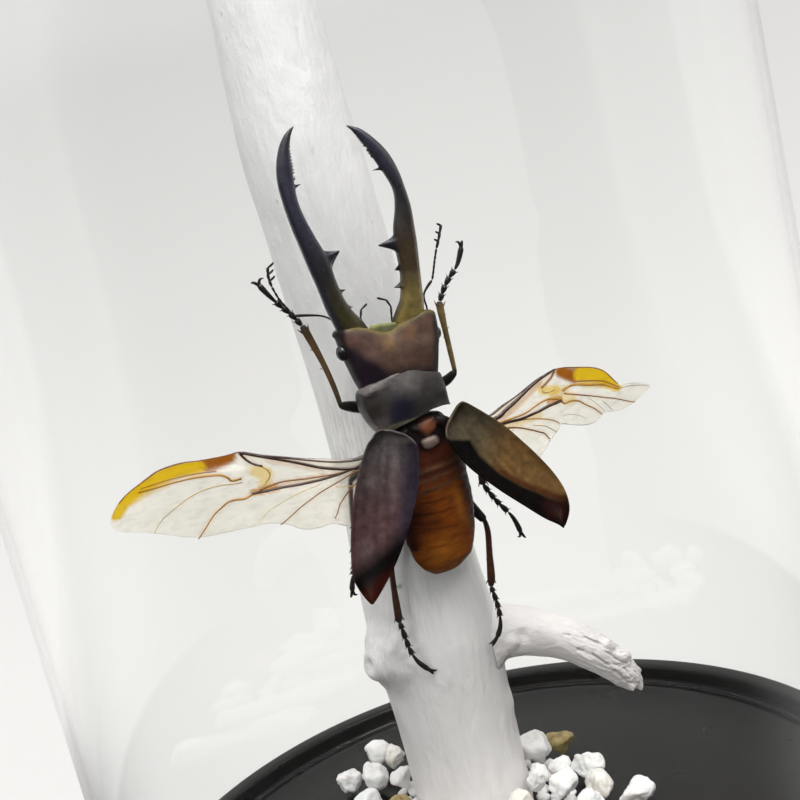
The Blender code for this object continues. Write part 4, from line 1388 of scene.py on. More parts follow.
def path_between(corners, count):
    """Evenly spread points on a smooth curve through corners of (x, y, z)."""
    fine = soften(corners, 8)
    lengths = [0.0]
    for start, end in zip(fine, fine[1:]):
        lengths.append(lengths[-1] + math.dist(start, end))
    points = []
    for i in range(count + 1):
        wanted = lengths[-1] * i / count
        place = max(k for k, length in enumerate(lengths) if length <= wanted + 1e-9)
        points.append(fine[place])
    return points


def finish_limb(node, kind, parts, rule):
    """Smooth and colour the parts of a feeler or a leg, join them and set them on the beetle."""
    for part in parts:
        smooth_skin(part, 1)
        tint(part, "plate_colour", rule)
        cover(part, limb_finish)
    seat(join_pieces(node + kind, parts), node)


def round_rings(points, widths):
    """Tube stations along points, each with a round ring of its own half width."""
    return [(*point, width, width) for point, width in zip(points, widths)]


FEELER_BLACK = Vector((0.020, 0.014, 0.012))
limb_finish = shell_finish("black_cuticle", 0.32, 0.12, 0.3, 0.012, Specular_IOR_Level=0.3)
PALPS = {
    "palp_left": [(-3.5, 1.0, 18.6), (-3.55, 1.4, 21.2), (-3.1, 1.5, 22.8), (-2.4, 1.5, 23.6),
                  (-1.4, 1.5, 23.9)],
    "palp_right": [(2.1, 1.0, 18.6), (2.6, 1.3, 20.6), (3.0, 1.5, 22.3), (2.3, 1.5, 23.5),
                   (0.8, 1.5, 24.3)],
}
for node, corners in PALPS.items():
    palp = bead_chain("palp", path_between(corners, 4), 0.27, 0.16)
    finish_limb(node, "_feeler", [palp], lambda place: FEELER_BLACK)

# root joint, string of joints, club, and how far and to which side the club's leaves reach out.
# The string and the club lie 1 mm behind the beetle's middle, so theirs are only (x, z).
ANTENNAE = {
    "antenna_left": (
        [(-7.6, 1.6, 20.6), (-8.6, 1.4, 22.6), (-10.0, 1.2, 24.1), (-12.0, 1.0, 25.1), (-15.9, 1.0, 26.3)],
        [(-15.9, 26.3), (-16.6, 28.0), (-17.5, 30.0), (-18.1, 32.6)],
        [(-18.1, 32.6), (-18.2, 33.9), (-18.1, 35.1), (-17.7, 36.3)], 1.0),
    "antenna_right": (
        [(9.0, 1.4, 18.0), (9.8, 1.2, 19.2), (9.7, 1.0, 21.0), (10.2, 1.0, 22.5), (12.4, 1.0, 24.2)],
        [(12.4, 24.2), (13.1, 25.6), (14.0, 27.6), (15.0, 29.6)],
        [(15.0, 29.6), (15.9, 31.0), (16.6, 32.3), (17.3, 33.7)], -0.6),
}
ROOT_WIDTHS = [0.3] + [0.2] * 8 + [0.23, 0.28, 0.34, 0.22]
# out to the side, up, half width, half depth
LEAF_RINGS = [(-0.1, -0.1, 0.16, 0.2), (0.5, 0.05, 0.26, 0.34), (1.0, 0.3, 0.26, 0.34),
              (1.35, 0.55, 0.12, 0.16)]
for node, (root, string, club, side) in ANTENNAE.items():
    string, club = ([(x, 1.0, z) for x, z in line] for line in (string, club))
    parts = [draw_tube("root_joint", round_rings(soften(root, 3), ROOT_WIDTHS), 10),
             bead_chain("string", path_between(string, 6), 0.27, 0.17),
             bead_chain("club_stem", club, 0.36, 0.2)]
    for x, y, z in club[1:]:
        parts.append(draw_tube("leaf", [(x + out * side, y, z + up, half, depth)
                                        for out, up, half, depth in LEAF_RINGS], 8))
    finish_limb(node, "_feeler", parts, lambda place: FEELER_BLACK)


# --------
# The legs: six jointed legs of black cuticle. Each has a stout thigh, a thin shin that widens to
# a spined cup, a foot of five spined joints and two hooked claws. The shins are red-brown or gold.
# thigh and shin: points with half widths. foot: only its corners. claws: where they point, across
# and up. gold: how far the shin is from black towards red-brown, or on a front leg gold.
LEGS = {
    "leg_front_left": {
        "thigh": [(-4.8, 5.4, 2.8, 0.9), (-7.6, 4.4, 4.6, 1.15), (-10.2, 3.0, 6.0, 1.1),
                  (-12.2, 2.2, 7.0, 0.7)],
        "shin": [(-12.2, 2.1, 6.9, 0.45), (-12.4, 2.0, 11.0, 0.55), (-13.1, 2.0, 16.5, 0.6),
                 (-14.3, 2.0, 22.4, 0.8), (-14.7, 2.0, 23.9, 0.5)],
        "foot": [(-14.7, 2.0, 23.9), (-15.9, 2.0, 26.4), (-17.2, 2.0, 28.3), (-19.0, 2.0, 31.3),
                 (-20.0, 2.0, 33.4)],
        "claws": [(-1.0, 0.5), (0.9, 0.7)], "gold": 0.55},
    "leg_front_right": {
        "thigh": [(4.6, 5.4, 1.6, 0.9), (8.0, 4.4, 3.4, 1.1), (10.2, 3.0, 4.3, 1.05),
                  (11.9, 2.2, 5.4, 0.7)],
        "shin": [(11.9, 2.1, 5.4, 0.45), (12.1, 2.0, 9.0, 0.55), (12.4, 2.0, 14.0, 0.6),
                 (12.7, 2.0, 18.4, 0.8), (13.0, 2.0, 19.6, 0.5)],
        "foot": [(13.0, 2.0, 19.6), (14.6, 2.0, 21.8), (16.4, 2.0, 23.5), (18.6, 2.0, 25.2),
                 (20.3, 2.0, 28.0)],
        "claws": [(-0.7, 1.0), (0.3, 0.9)], "gold": 1.0},
    "leg_middle_left": {
        "thigh": [(-4.8, 6.0, -4.6, 0.9), (-8.6, 5.4, -5.8, 1.1), (-12.0, 4.6, -7.0, 1.0),
                  (-14.4, 4.0, -7.9, 0.7)],
        "shin": [(-14.4, 4.0, -7.9, 0.45), (-15.6, 3.8, -12.0, 0.55), (-16.8, 3.5, -17.0, 0.6),
                 (-17.8, 3.3, -20.6, 0.75), (-18.1, 3.2, -21.4, 0.5)],
        "foot": [(-18.1, 3.2, -21.4), (-19.0, 3.1, -23.6), (-19.8, 3.0, -25.4), (-20.6, 3.0, -27.2),
                 (-21.0, 3.0, -28.4)],
        "claws": [(-0.6, -0.7), (0.6, -0.7)], "gold": 0.1},
    "leg_middle_right": {
        "thigh": [(5.0, 6.0, -4.6, 0.9), (8.6, 5.4, -5.6, 1.1), (11.4, 4.6, -6.4, 1.0),
                  (13.2, 4.2, -7.4, 0.7)],
        "shin": [(13.2, 4.1, -7.4, 0.45), (12.8, 3.8, -11.0, 0.55), (12.0, 3.5, -14.6, 0.6),
                 (11.3, 3.1, -17.6, 0.8), (11.2, 3.0, -18.5, 0.5)],
        "foot": [(11.2, 3.0, -18.5), (12.9, 3.0, -22.7), (15.1, 3.0, -26.7), (15.8, 3.0, -29.0),
                 (16.0, 3.0, -30.6)],
        "claws": [(-0.7, -0.5), (0.6, -1.1)], "gold": 0.0},
    "leg_hind_left": {
        "thigh": [(-4.6, 6.3, -11.6, 0.9), (-6.9, 6.1, -16.0, 1.1), (-9.0, 5.8, -21.0, 1.05),
                  (-10.8, 5.7, -26.0, 0.75)],
        "shin": [(-10.8, 5.7, -26.0, 0.45), (-11.6, 5.9, -29.0, 0.6), (-12.3, 6.1, -33.2, 0.65),
                 (-13.0, 6.4, -38.6, 0.85), (-13.1, 6.6, -40.0, 0.5)],
        "foot": [(-13.1, 6.6, -40.0), (-12.9, 6.9, -43.5), (-12.7, 7.0, -46.7), (-12.0, 7.0, -49.4),
                 (-10.4, 7.0, -51.9)],
        "claws": [(1.2, -0.5), (0.5, -1.0)], "gold": 0.35},
    "leg_hind_right": {
        "thigh": [(4.4, 6.3, -11.6, 0.9), (6.2, 6.0, -17.0, 1.1), (8.0, 5.4, -22.2, 1.15),
                  (9.9, 4.8, -26.2, 0.85)],
        "shin": [(9.9, 4.8, -26.4, 0.5), (9.9, 4.9, -29.0, 0.65), (9.0, 5.2, -33.4, 0.7),
                 (8.0, 5.6, -38.6, 0.9), (7.5, 5.9, -40.4, 0.5)],
        "foot": [(7.5, 5.9, -40.4), (7.8, 6.2, -43.5), (7.8, 6.4, -46.4), (7.3, 6.5, -49.4),
                 (6.0, 6.5, -51.3)],
        "claws": [(-1.7, -0.4), (-1.3, -1.0)], "gold": 0.6},
}
FOOT_JOINTS = [0.0, 0.16, 0.32, 0.48, 0.64, 1.0]


def set_spine(start, end, width):
    """Copy the one spine, so that it stands on start and points to end."""
    start, end = Vector(start), Vector(end)
    spine = twin(spine_master)
    spine.scale = Vector((width, width, (end - start).length)) * MM
    spine.rotation_euler = (end - start).to_track_quat("Z", "Y").to_euler()
    spine.location = start * MM
    bpy.ops.object.transform_apply(location=True, rotation=True, scale=True)
    return spine


def limb_axes(start, end):
    """The way a joint runs, and the way across it as seen from the front."""
    along = (Vector(end) - Vector(start)).normalized()
    return along, Vector((along.z, 0.0, -along.x))


def make_foot(foot, corners):
    """Five beaded joints, of which the last is the long claw joint, thicker in its middle."""
    tip = foot[-1]
    beyond = tuple(a + (a - b) * 0.5 for a, b in zip(tip, foot[46]))
    claw_joint = round_rings([*foot[31:50:6], tip, beyond], (0.26, 0.42, 0.54, 0.62, 0.54, 0.26))
    return [bead_chain("foot", corners[:-1], 0.76, 0.3), draw_tube("claw_joint", claw_joint, 12)]


def make_spines(shin, corners):
    """Two spines at each joint of the foot, four round the end of the shin and four along it."""
    spines = []
    for joint, before in zip(corners[1:-1], corners):
        along, across = limb_axes(before, joint)
        for side in (-1.0, 1.0):
            root = Vector(joint) - along * 0.5 + across * side * 0.22
            spines.append(set_spine(root, root + along * 0.8 + across * side * 0.85, 0.2))
    before_end, end = (Vector(point[:3]) for point in shin[-2:])
    along, across = limb_axes(before_end, end)
    for side, length in ((-1.0, 1.9), (1.0, 1.6), (-0.45, 1.3), (0.5, 1.1)):
        root = before_end + across * side * 0.5
        spines.append(set_spine(root, root + along * length + across * side * 0.85, 0.26))
    for share, side in ((0.35, -1.0), (0.55, 1.0), (0.7, -1.0), (0.82, 1.0)):
        root = Vector(shin[1][:3]).lerp(before_end, share) + across * side * 0.45
        spines.append(set_spine(root, root + along * 0.5 + across * side * 0.55, 0.15))
    return spines


def make_claws(foot, tip, directions):
    """Hooks that leave the tip forwards and curl round to their own sides."""
    claws = []
    onward = (tip - Vector(foot[44])).normalized()
    for across, up in directions:
        reach = Vector((across, -0.1, up))
        hook = [tip - onward * 0.5, tip + onward * 0.4 + reach * 0.2, tip + onward * 0.7 + reach * 0.8,
                tip + onward * 0.2 + reach * 1.4]
        claws.append(draw_tube("claw", round_rings(hook, (0.4, 0.36, 0.26, 0.06)), 8, 3))
    return claws


def make_leg(node, plan):
    shin = plan["shin"]
    knee = Vector(shin[0][:3]).lerp(Vector(plan["thigh"][-2][:3]), 0.12)
    thigh_rings = [(x, y, z, r, r * 0.85) for x, y, z, r in plan["thigh"]]
    shin_rings = [(*knee, 0.4, 0.4), *((x, y, z, r, r * 0.8) for x, y, z, r in shin)]
    foot = path_between(plan["foot"], 50)
    corners = [foot[round(share * 50)] for share in FOOT_JOINTS]
    parts = [draw_tube("thigh", thigh_rings, 16, 4), draw_tube("shin", shin_rings, 14, 4),
             *make_foot(foot, corners)]
    spines = make_spines(shin, corners)
    parts.extend(make_claws(foot, Vector(plan["foot"][-1]), plan["claws"]))
    start, end = Vector(shin[0][:3]), Vector(shin[-1][:3])
    reach = end - start

    def leg_colour(place):
        share = (place - start).dot(reach) / reach.length_squared
        if not 0.04 < share < 1.03 or off_line(place, start.xz, end.xz) >= 1.4:
            return LEG_BLACK_AND_SHADE
        bright = toward(LEG_RED, LEG_GOLD, plan["gold"] if "front" in node else 0.0)
        strength = max(plan["gold"], 0.25) * 1.5 * math.sin(math.pi * min(1.0, share)) ** 0.5
        colour = toward(LEG_BLACK_AND_SHADE, bright, strength)
        # Painted shade on the back of the shin, which faces the branch.
        return toward(colour, LEG_BLACK_AND_SHADE, 0.7 * (place.y - start.lerp(end, share).y) / 0.5)

    finish_limb(node, "_limb", [*parts, *spines], leg_colour)


LEG_BLACK_AND_SHADE = Vector((0.014, 0.012, 0.010))
LEG_RED = Vector((0.085, 0.028, 0.012))
LEG_GOLD = Vector((0.17, 0.115, 0.045))
deselect()
bpy.ops.mesh.primitive_cone_add(vertices=7, radius1=1.0, radius2=0.0, depth=1.0,
                                location=(0.0, 0.0, 0.5))
spine_master = start_shape("spine")
bpy.ops.mesh.subdivide(number_cuts=1)
close_up()
for node, plan in LEGS.items():
    make_leg(node, plan)
bpy.data.objects.remove(spine_master)


# --------
# The wing cases: two domed, leaf-shaped shells of plum-black cuticle, hinged at the thorax and raised to let
# the wings out. Each has a fine rim, and shades of gold, green, red and violet, with painted shade black on
# its lower part and a few painted glints.
# distance from the hinge, then half widths on the outer and the inner side of the line to the tip
CASE_LEFT = [
    (-1.1, 0.2, 1.2), (-0.8, 1.1, 2.6), (-0.3, 1.6, 4.4), (0.8, 2.2, 6.0), (2.4, 3.1, 6.8), (7.0, 4.2, 7.3),
    (12.3, 4.8, 6.9), (17.7, 4.95, 5.8), (23.0, 4.6, 4.3), (27.3, 3.8, 2.5), (30.3, 1.6, 1.0),
    (31.6, 0.15, 0.15),
]
CASE_RIGHT = [
    (0.1, 1.9, -0.6), (0.3, 2.5, 0.2), (0.8, 2.9, 2.4), (1.5, 3.3, 4.3), (3.0, 3.9, 5.6), (5.6, 4.9, 6.0),
    (8.4, 5.9, 6.0), (11.0, 6.6, 5.7), (13.7, 7.0, 5.1), (18.0, 7.5, 4.1), (23.5, 7.5, 2.6),
    (28.0, 6.4, 1.4), (31.0, 4.0, 0.2), (32.2, 0.6, 0.0),
]
# hinge, tip, the way the middle of its face looks
POSE_LEFT = ((-7.9, -5.4, 0.5), (-20.9, -10.3, -27.7), (-0.30, -0.93, 0.15))
POSE_RIGHT = ((7.0, -5.4, 0.4), (19.8, -10.3, -28.5), (0.28, -0.93, 0.15))
CASE_CROWN = 2.6
CASE_BOW = 1.2
CASE_THICKNESS = 0.42
SHELL_CUT = 0.42
SHELL_SPAN = math.sqrt(1.0 - SHELL_CUT ** 2)


def draw_case(name, rows, side):
    """Extrude an open arch from hinge to tip. Z runs to the tip, -Y to the face."""
    deselect()
    bpy.ops.mesh.primitive_circle_add(vertices=48, radius=MM, fill_type="NOTHING")
    case = start_shape(name)
    bpy.ops.mesh.bisect(plane_co=(0.0, -SHELL_CUT * MM, 0.0), plane_no=(0.0, 1.0, 0.0), clear_outer=True)
    bpy.ops.mesh.select_all(action="SELECT")
    bpy.ops.transform.translate(value=(0.0, SHELL_CUT * MM, 0.0))
    middle, wide, tall = Vector(), 1.0, 1.0
    length = rows[-1][0]
    for i, (distance, outer, inner) in enumerate(soften(rows, 4)):
        if i:
            bpy.ops.mesh.extrude_region_move()
        width = (outer + inner) / 2 / SHELL_SPAN
        crown = CASE_CROWN * min(1.0, width / 4.5) / (1.0 - SHELL_CUT)
        bow = CASE_BOW * math.sin(math.pi * max(0.0, distance) / length)
        onward = Vector((side * (outer - inner) / 2, -bow, distance)) * MM
        bpy.ops.transform.translate(value=onward - middle)
        bpy.ops.transform.resize(value=(width / wide, crown / tall, 1.0), center_override=onward)
        middle, wide, tall = onward, width, crown
    face_out()
    return case


def case_frame(hinge, tip, faces):
    """The beetle frame's matrix of a wing case's own frame."""
    along = (Vector(tip) - Vector(hinge)).normalized()
    across = Vector(faces).cross(along).normalized()
    back = along.cross(across)
    turned = Matrix((across, back, along)).transposed().to_4x4()
    return Matrix.Translation(Vector(hinge) * MM) @ turned


def make_case(node, rows, side, pose, colour_rule):
    """Draw a case and finish it: face outwards, wall, shoulder, colours and place."""
    case = draw_case(node + "_case", rows, side)
    if sum(face.normal.y for face in case.data.polygons) > 0.0:
        open_up(case)
        bpy.ops.mesh.select_all(action="SELECT")
        bpy.ops.mesh.flip_normals()
        close_up()
    use_modifier(case, "SOLIDIFY", thickness=CASE_THICKNESS * MM, offset=-1.0, use_rim=True)
    smooth_skin(case, 1)
    open_up(case)
    pull(case, (side * 2.0, -2.0, 2.4), (0.0, -0.5, 0.0), 3.6)
    close_up()
    smooth_skin(case, 1)
    tint(case, "plate_colour", lambda place: colour_rule(place.x * side, place.z))
    cover(case, case_finish)
    pick_up(case)
    case.matrix_world = case_frame(*pose)
    bpy.ops.object.transform_apply(location=True, rotation=True, scale=True)
    seat(case, node)


CASE_GREY = Vector((0.088, 0.073, 0.073))
CASE_PLUM = Vector((0.072, 0.037, 0.038))
CASE_BLUE = Vector((0.026, 0.020, 0.030))
CASE_SHADE_BLACK = Vector((0.0015, 0.001, 0.001))
CASE_RED = Vector((0.024, 0.003, 0.001))
CASE_OLIVE = Vector((0.086, 0.068, 0.043))
CASE_GOLD = Vector((0.150, 0.082, 0.028))
CASE_GREEN_GLINT = Vector((0.110, 0.088, 0.034))
CASE_RUST = Vector((0.055, 0.010, 0.003))
# where the painted shade on the right case's lower part ends: distance from the hinge, outward
CASE_SHADE_LINE = [
    (2.0, -6.4), (4.4, -3.4), (7.2, 0.0), (10.6, -0.7), (16.2, 0.0), (20.8, 1.5), (24.8, 3.5),
    (30.3, 5.4),
]


def left_case_colour(outward, distance):
    streak = noise.noise(Vector((outward * 0.9, distance * 0.07, 1.0)))
    colour = toward(CASE_GREY, CASE_PLUM, (distance - 3.0) / 12.0) * (1.0 + 0.45 * streak)
    slant = distance - 0.9 * outward
    colour = layer(colour, (CASE_BLUE, 0.85 * (-outward - 2.6) / 2.4),
                   # Painted shade: a black band slanting across the lower case.
                   (CASE_SHADE_BLACK, 0.97 * (slant - 20.3) / 4.2), (CASE_RED, 0.9 * (slant - 26.4) / 2.2))
    # Two painted glints, pale grey on the case.
    colour = daub(colour, outward, distance, [(CASE_GREY * 1.5, 0.5, 1.8, 8.7, 2.4),
                                              (CASE_GREY, 0.55, 2.0, 22.0, 2.6)])
    # Painted highlight along the shoulder rim.
    rim = max(0.0, 1.0 - abs(distance - 0.6)) * (1.0 if outward < 0.0 else 0.3)
    return toward(colour, CASE_GREY * 2.2, 0.7 * rim)


def right_case_colour(outward, distance):
    streak = noise.noise(Vector((outward * 0.9, distance * 0.07, 7.0)))
    colour = toward(CASE_OLIVE, CASE_GOLD, (distance - 8.0 + 0.4 * outward) / 8.0) * (1.0 + 0.4 * streak)
    # A painted glint, dull green.
    colour = daub(colour, outward, distance, [(CASE_GREEN_GLINT, 0.7, -1.3, 12.6, 3.6)])
    edge = line_height(CASE_SHADE_LINE, distance)
    fringe = hill(outward - edge, 0.3, 0.7) * clamp((distance - 13.0) / 4.0)
    # Painted shade: black below the shade line and towards the tip.
    colour = layer(colour, (CASE_RUST, 0.8 * fringe), (CASE_SHADE_BLACK, 0.98 * (edge - outward + 0.3) / 1.1),
                   (CASE_SHADE_BLACK, 0.9 * (distance - 27.5) / 2.5))
    colour = daub(colour, outward, distance, [(CASE_RED, 0.6, 2.6, 29.0, 4.0)])
    # Painted shade along the outer edge.
    return toward(colour, CASE_SHADE_BLACK, 0.6 * (outward - 7.0))


case_finish = shell_finish("plum_cuticle_case", 0.42, 0.0, 0.4, 0.008, Specular_IOR_Level=0.04)
make_case("elytron_left", CASE_LEFT, -1.0, POSE_LEFT, left_case_colour)
make_case("elytron_right", CASE_RIGHT, 1.0, POSE_RIGHT, right_case_colour)


# --------
# The flight wings: clear cream membrane, stretched between brown veins that are thick and dark
# at the root, with a golden stain along the front edge past the folding joint. Drawn flat, then
# laid on the wing's slope with the small waves that its folds have left.
LEAD_LEFT = [(-8.0, -2.4), (-12.5, -3.0), (-15.0, -2.6), (-19.5, -1.0), (-23.0, 0.4), (-26.4, 2.0),
             (-29.8, 3.6),
             (-33.2, 5.2), (-36.5, 5.5), (-40.6, 6.1), (-44.2, 6.9), (-47.9, 6.9), (-50.1, 6.4),
             (-52.2, 5.7),
             (-54.3, 4.9), (-56.6, 3.6), (-58.4, 2.1), (-59.4, 0.8), (-59.8, -0.1)]
TRAIL_LEFT = [(-9.5, -12.5), (-14.0, -15.0), (-18.0, -15.4), (-21.0, -13.9), (-23.6, -13.9),
              (-26.4, -13.3), (-29.0, -11.2),
              (-31.4, -10.1), (-34.2, -9.5), (-37.4, -8.9), (-41.0, -8.6), (-44.3, -8.2), (-47.0, -7.3),
              (-49.8, -5.8),
              (-52.7, -4.3), (-55.2, -3.1), (-57.6, -2.2), (-59.2, -1.4), (-59.7, -0.5)]
# colour key, half width at the root and at the end, points
VEINS_LEFT = [
    ("dark", 0.24, 0.12, [(-9.0, -3.3), (-12.7, -3.5), (-16.1, -2.8), (-19.6, -1.5), (-24.8, 0.9),
                          (-29.5, 3.2), (-33.2, 5.0)]),
    ("dark", 0.34, 0.24, [(-9.0, -4.6), (-13.2, -5.0), (-16.5, -4.1), (-20.0, -2.6), (-23.3, -0.6),
                          (-26.6, 1.3), (-29.6, 3.0), (-33.0, 4.8)]),
    ("dark", 0.26, 0.2, [(-33.3, 5.0), (-32.7, 3.6), (-31.8, 2.4), (-30.2, 1.3)]),
    ("pale", 0.18, 0.1, [(-30.2, 1.2), (-29.4, 0.1), (-29.4, -1.1), (-30.5, -2.1), (-31.5, -3.0)]),
    ("brown", 0.10, 0.08, [(-33.2, 5.1), (-36.5, 5.4), (-40.6, 6.0), (-44.2, 6.7), (-47.9, 6.7),
                           (-50.1, 6.2), (-54.3, 4.8), (-57.0, 3.2)]),
    ("brown", 0.10, 0.07, [(-38.5, 3.2), (-41.4, 3.8), (-45.0, 4.3), (-48.7, 4.6), (-52.5, 4.6)]),
    ("golden", 0.24, 0.14, [(-34.6, 0.4), (-36.4, 0.6), (-36.9, 1.4), (-38.0, 2.3), (-39.8, 2.8),
                            (-42.5, 3.3), (-45.3, 3.6), (-48.1, 3.8), (-53.1, 4.0)]),
    ("pale", 0.13, 0.07, [(-34.6, -0.4), (-36.5, -0.1), (-38.2, 0.3), (-40.5, 0.5), (-43.5, 0.3),
                          (-46.5, -0.4), (-49.1, -1.5), (-51.0, -2.6), (-52.8, -4.1)]),
    ("dark", 0.26, 0.24, [(-9.0, -4.9), (-13.1, -4.8), (-16.8, -5.0), (-20.7, -4.9), (-24.5, -4.5),
                          (-28.3, -3.9), (-31.7, -3.5), (-33.6, -3.3)]),
    ("brown", 0.11, 0.2, [(-12.0, -4.9), (-14.8, -5.0), (-18.7, -4.6), (-24.3, -3.6), (-27.1, -3.0),
                          (-29.6, -2.9), (-32.0, -3.1)]),
    ("golden", 0.22, 0.1, [(-33.2, -3.3), (-35.1, -3.6), (-36.9, -3.2), (-38.3, -3.2), (-39.6, -3.8),
                           (-41.2, -4.6), (-42.8, -5.8), (-44.7, -7.4), (-45.6, -8.2)]),
    ("brown", 0.13, 0.1, [(-10.0, -5.2), (-14.6, -5.7), (-17.2, -6.3), (-21.4, -7.1), (-23.6, -7.9),
                          (-25.9, -8.8), (-28.1, -9.7), (-30.4, -10.7)]),
    ("pale", 0.08, 0.05, [(-21.0, -5.7), (-25.0, -5.9), (-28.1, -6.5), (-31.3, -7.3), (-34.0, -8.8)]),
    ("brown", 0.13, 0.1, [(-12.0, -6.6), (-15.7, -8.5), (-17.3, -9.8), (-18.5, -10.8), (-19.5, -12.1),
                          (-20.3, -13.0)]),
    ("pale", 0.1, 0.07, [(-14.8, -8.2), (-16.6, -7.7), (-18.4, -7.1)]),
]
# colour key, reach, strength, path
STAINS_LEFT = [
    ("patch", 1.3, 1.0, [(-35.4, 4.9), (-37.8, 4.7), (-39.9, 4.9)]),
    ("gold", 1.35, 1.0, [(-41.4, 4.9), (-44.5, 5.5), (-47.4, 5.6), (-50.4, 5.3), (-53.4, 4.5),
                         (-56.2, 3.2), (-58.2, 1.7)]),
    ("gold", 1.0, 0.55, [(-48.0, 4.3), (-51.0, 4.0), (-54.5, 3.0)]),
    ("gold", 1.2, 0.6, [(-31.6, 0.8), (-29.8, -0.4), (-30.7, -2.2)]),
    ("amber", 0.7, 0.8, [(-29.0, -3.6), (-31.2, -3.3), (-33.2, -3.2)]),
    ("amber", 0.5, 0.3, [(-20.0, -4.3), (-26.0, -3.6), (-30.0, -3.2)]),
    ("amber", 0.5, 0.25, [(-20.0, -3.2), (-24.0, -0.9), (-29.0, 1.9)]),
]
LEAD_RIGHT = [(8.0, -3.6), (12.0, -4.6), (15.3, -4.7), (18.4, -4.0), (22.3, -3.4), (25.0, -2.8),
              (27.7, -2.1), (30.4, -1.6), (32.4, -1.5),
              (34.8, -1.7), (37.6, -2.6), (41.2, -3.9), (43.5, -5.1), (45.1, -6.7), (46.4, -8.5),
              (47.2, -10.1),
              (48.7, -10.3), (50.3, -10.7), (52.0, -11.3), (53.7, -12.0), (54.7, -12.7)]
TRAIL_RIGHT = [(10.5, -14.0), (14.5, -17.4), (19.0, -18.4), (22.6, -17.6), (25.2, -16.2), (27.3, -15.0),
               (29.0, -14.2), (30.2, -13.5), (31.1, -12.8),
               (32.6, -13.4), (34.6, -14.3), (36.8, -15.1), (39.0, -15.4), (40.6, -15.0), (42.0, -14.4),
               (44.2, -14.9),
               (46.4, -15.3), (48.9, -15.1), (51.3, -14.3), (53.3, -13.6), (54.5, -13.1)]
VEINS_RIGHT = [
    ("dark", 0.16, 0.14, [(11.0, -4.6), (15.7, -4.9), (18.3, -4.4), (21.5, -3.7), (24.6, -3.1),
                          (27.6, -2.5), (30.4, -2.0)]),
    ("dark", 0.5, 0.22, [(11.0, -6.0), (17.1, -5.9), (19.3, -5.2), (21.9, -4.5), (24.7, -3.6),
                         (27.5, -2.7), (30.3, -2.0), (33.2, -1.6)]),
    ("brown", 0.3, 0.22, [(33.1, -1.8), (32.1, -2.7), (30.9, -3.2), (30.0, -3.6), (28.9, -4.0)]),
    ("pale", 0.2, 0.18, [(28.9, -4.2), (29.0, -5.0), (30.4, -5.3), (31.8, -5.3)]),
    ("brown", 0.12, 0.1, [(32.6, -1.6), (34.8, -1.8), (37.6, -2.7), (41.2, -4.0), (43.5, -5.2),
                          (45.1, -6.8), (46.9, -9.6)]),
    ("brown", 0.14, 0.1, [(36.6, -5.5), (40.3, -6.6), (43.8, -8.0), (45.4, -9.2), (46.8, -10.3)]),
    ("golden", 0.26, 0.2, [(33.6, -6.4), (34.8, -6.0), (36.6, -6.1), (40.1, -7.4), (43.7, -8.7),
                           (45.2, -9.7), (46.4, -10.5)]),
    ("brown", 0.15, 0.09, [(33.7, -7.0), (36.7, -8.3), (39.9, -9.8), (42.8, -11.2), (45.2, -12.3),
                           (48.5, -14.2), (49.9, -14.9)]),
    ("brown", 0.07, 0.05, [(46.6, -10.6), (49.4, -11.0), (52.4, -12.0), (54.4, -12.8)]),
    ("dark", 0.34, 0.3, [(11.0, -6.6), (17.3, -7.4), (19.7, -7.7), (22.0, -8.1), (24.4, -8.2),
                         (26.9, -8.2), (29.0, -8.0), (30.9, -8.0), (32.6, -8.1)]),
    ("golden", 0.18, 0.2, [(16.0, -6.9), (20.3, -7.2), (23.5, -7.3), (26.2, -6.8), (28.3, -6.6),
                           (30.0, -6.7), (32.0, -7.6)]),
    ("golden", 0.24, 0.1, [(32.4, -8.0), (33.1, -8.9), (34.4, -8.8), (36.3, -9.5), (37.7, -10.8),
                           (39.8, -12.6), (41.3, -14.4)]),
    ("golden", 0.15, 0.1, [(16.0, -7.6), (20.0, -7.9), (23.8, -8.8), (27.6, -10.2), (29.8, -11.5),
                           (30.8, -12.5)]),
    ("brown", 0.18, 0.14, [(14.0, -7.8), (18.1, -8.6), (21.0, -9.6), (23.6, -11.0), (25.6, -12.3),
                           (26.9, -13.2), (27.5, -14.6)]),
    ("pale", 0.1, 0.08, [(24.6, -10.4), (27.2, -11.6), (28.5, -12.7), (29.6, -13.8)]),
    ("brown", 0.05, 0.04, [(38.8, -9.7), (40.0, -11.1), (41.1, -12.6), (42.2, -14.2)]),
    ("brown", 0.05, 0.04, [(41.9, -11.6), (43.0, -13.0), (44.2, -14.6)]),
    ("brown", 0.05, 0.04, [(32.3, -11.4), (34.0, -11.7), (35.8, -12.6), (37.0, -13.7)]),
]
STAINS_RIGHT = [
    ("patch", 1.2, 1.0, [(34.4, -2.6), (35.6, -3.6), (36.9, -4.6)]),
    ("patch", 0.8, 0.8, [(35.0, -2.4), (37.6, -3.2), (38.4, -3.6)]),
    ("gold", 1.6, 1.0, [(38.6, -4.6), (40.7, -5.3), (43.0, -6.4), (44.8, -7.9), (46.2, -9.4)]),
    ("gold", 0.9, 0.7, [(38.6, -6.4), (41.4, -7.5), (44.6, -9.0)]),
    ("gold", 1.0, 0.7, [(28.8, -4.4), (30.5, -5.2), (32.2, -5.6)]),
    ("gold", 1.4, 0.45, [(31.6, -6.4), (33.4, -6.8), (34.4, -8.4)]),
    ("amber", 0.6, 0.8, [(29.6, -7.1), (31.2, -7.3), (32.4, -7.6)]),
    ("amber", 0.5, 0.5, [(18.0, -6.3), (22.0, -5.4), (26.0, -4.2), (29.0, -2.9)]),
    ("gold", 0.8, 0.4, [(18.0, -8.2), (22.0, -8.8), (26.6, -8.9)]),
]
STAIN_COLOURS = {"patch": Vector((0.38, 0.115, 0.006)), "gold": Vector((0.86, 0.56, 0.010)),
                 "amber": Vector((0.62, 0.26, 0.02))}
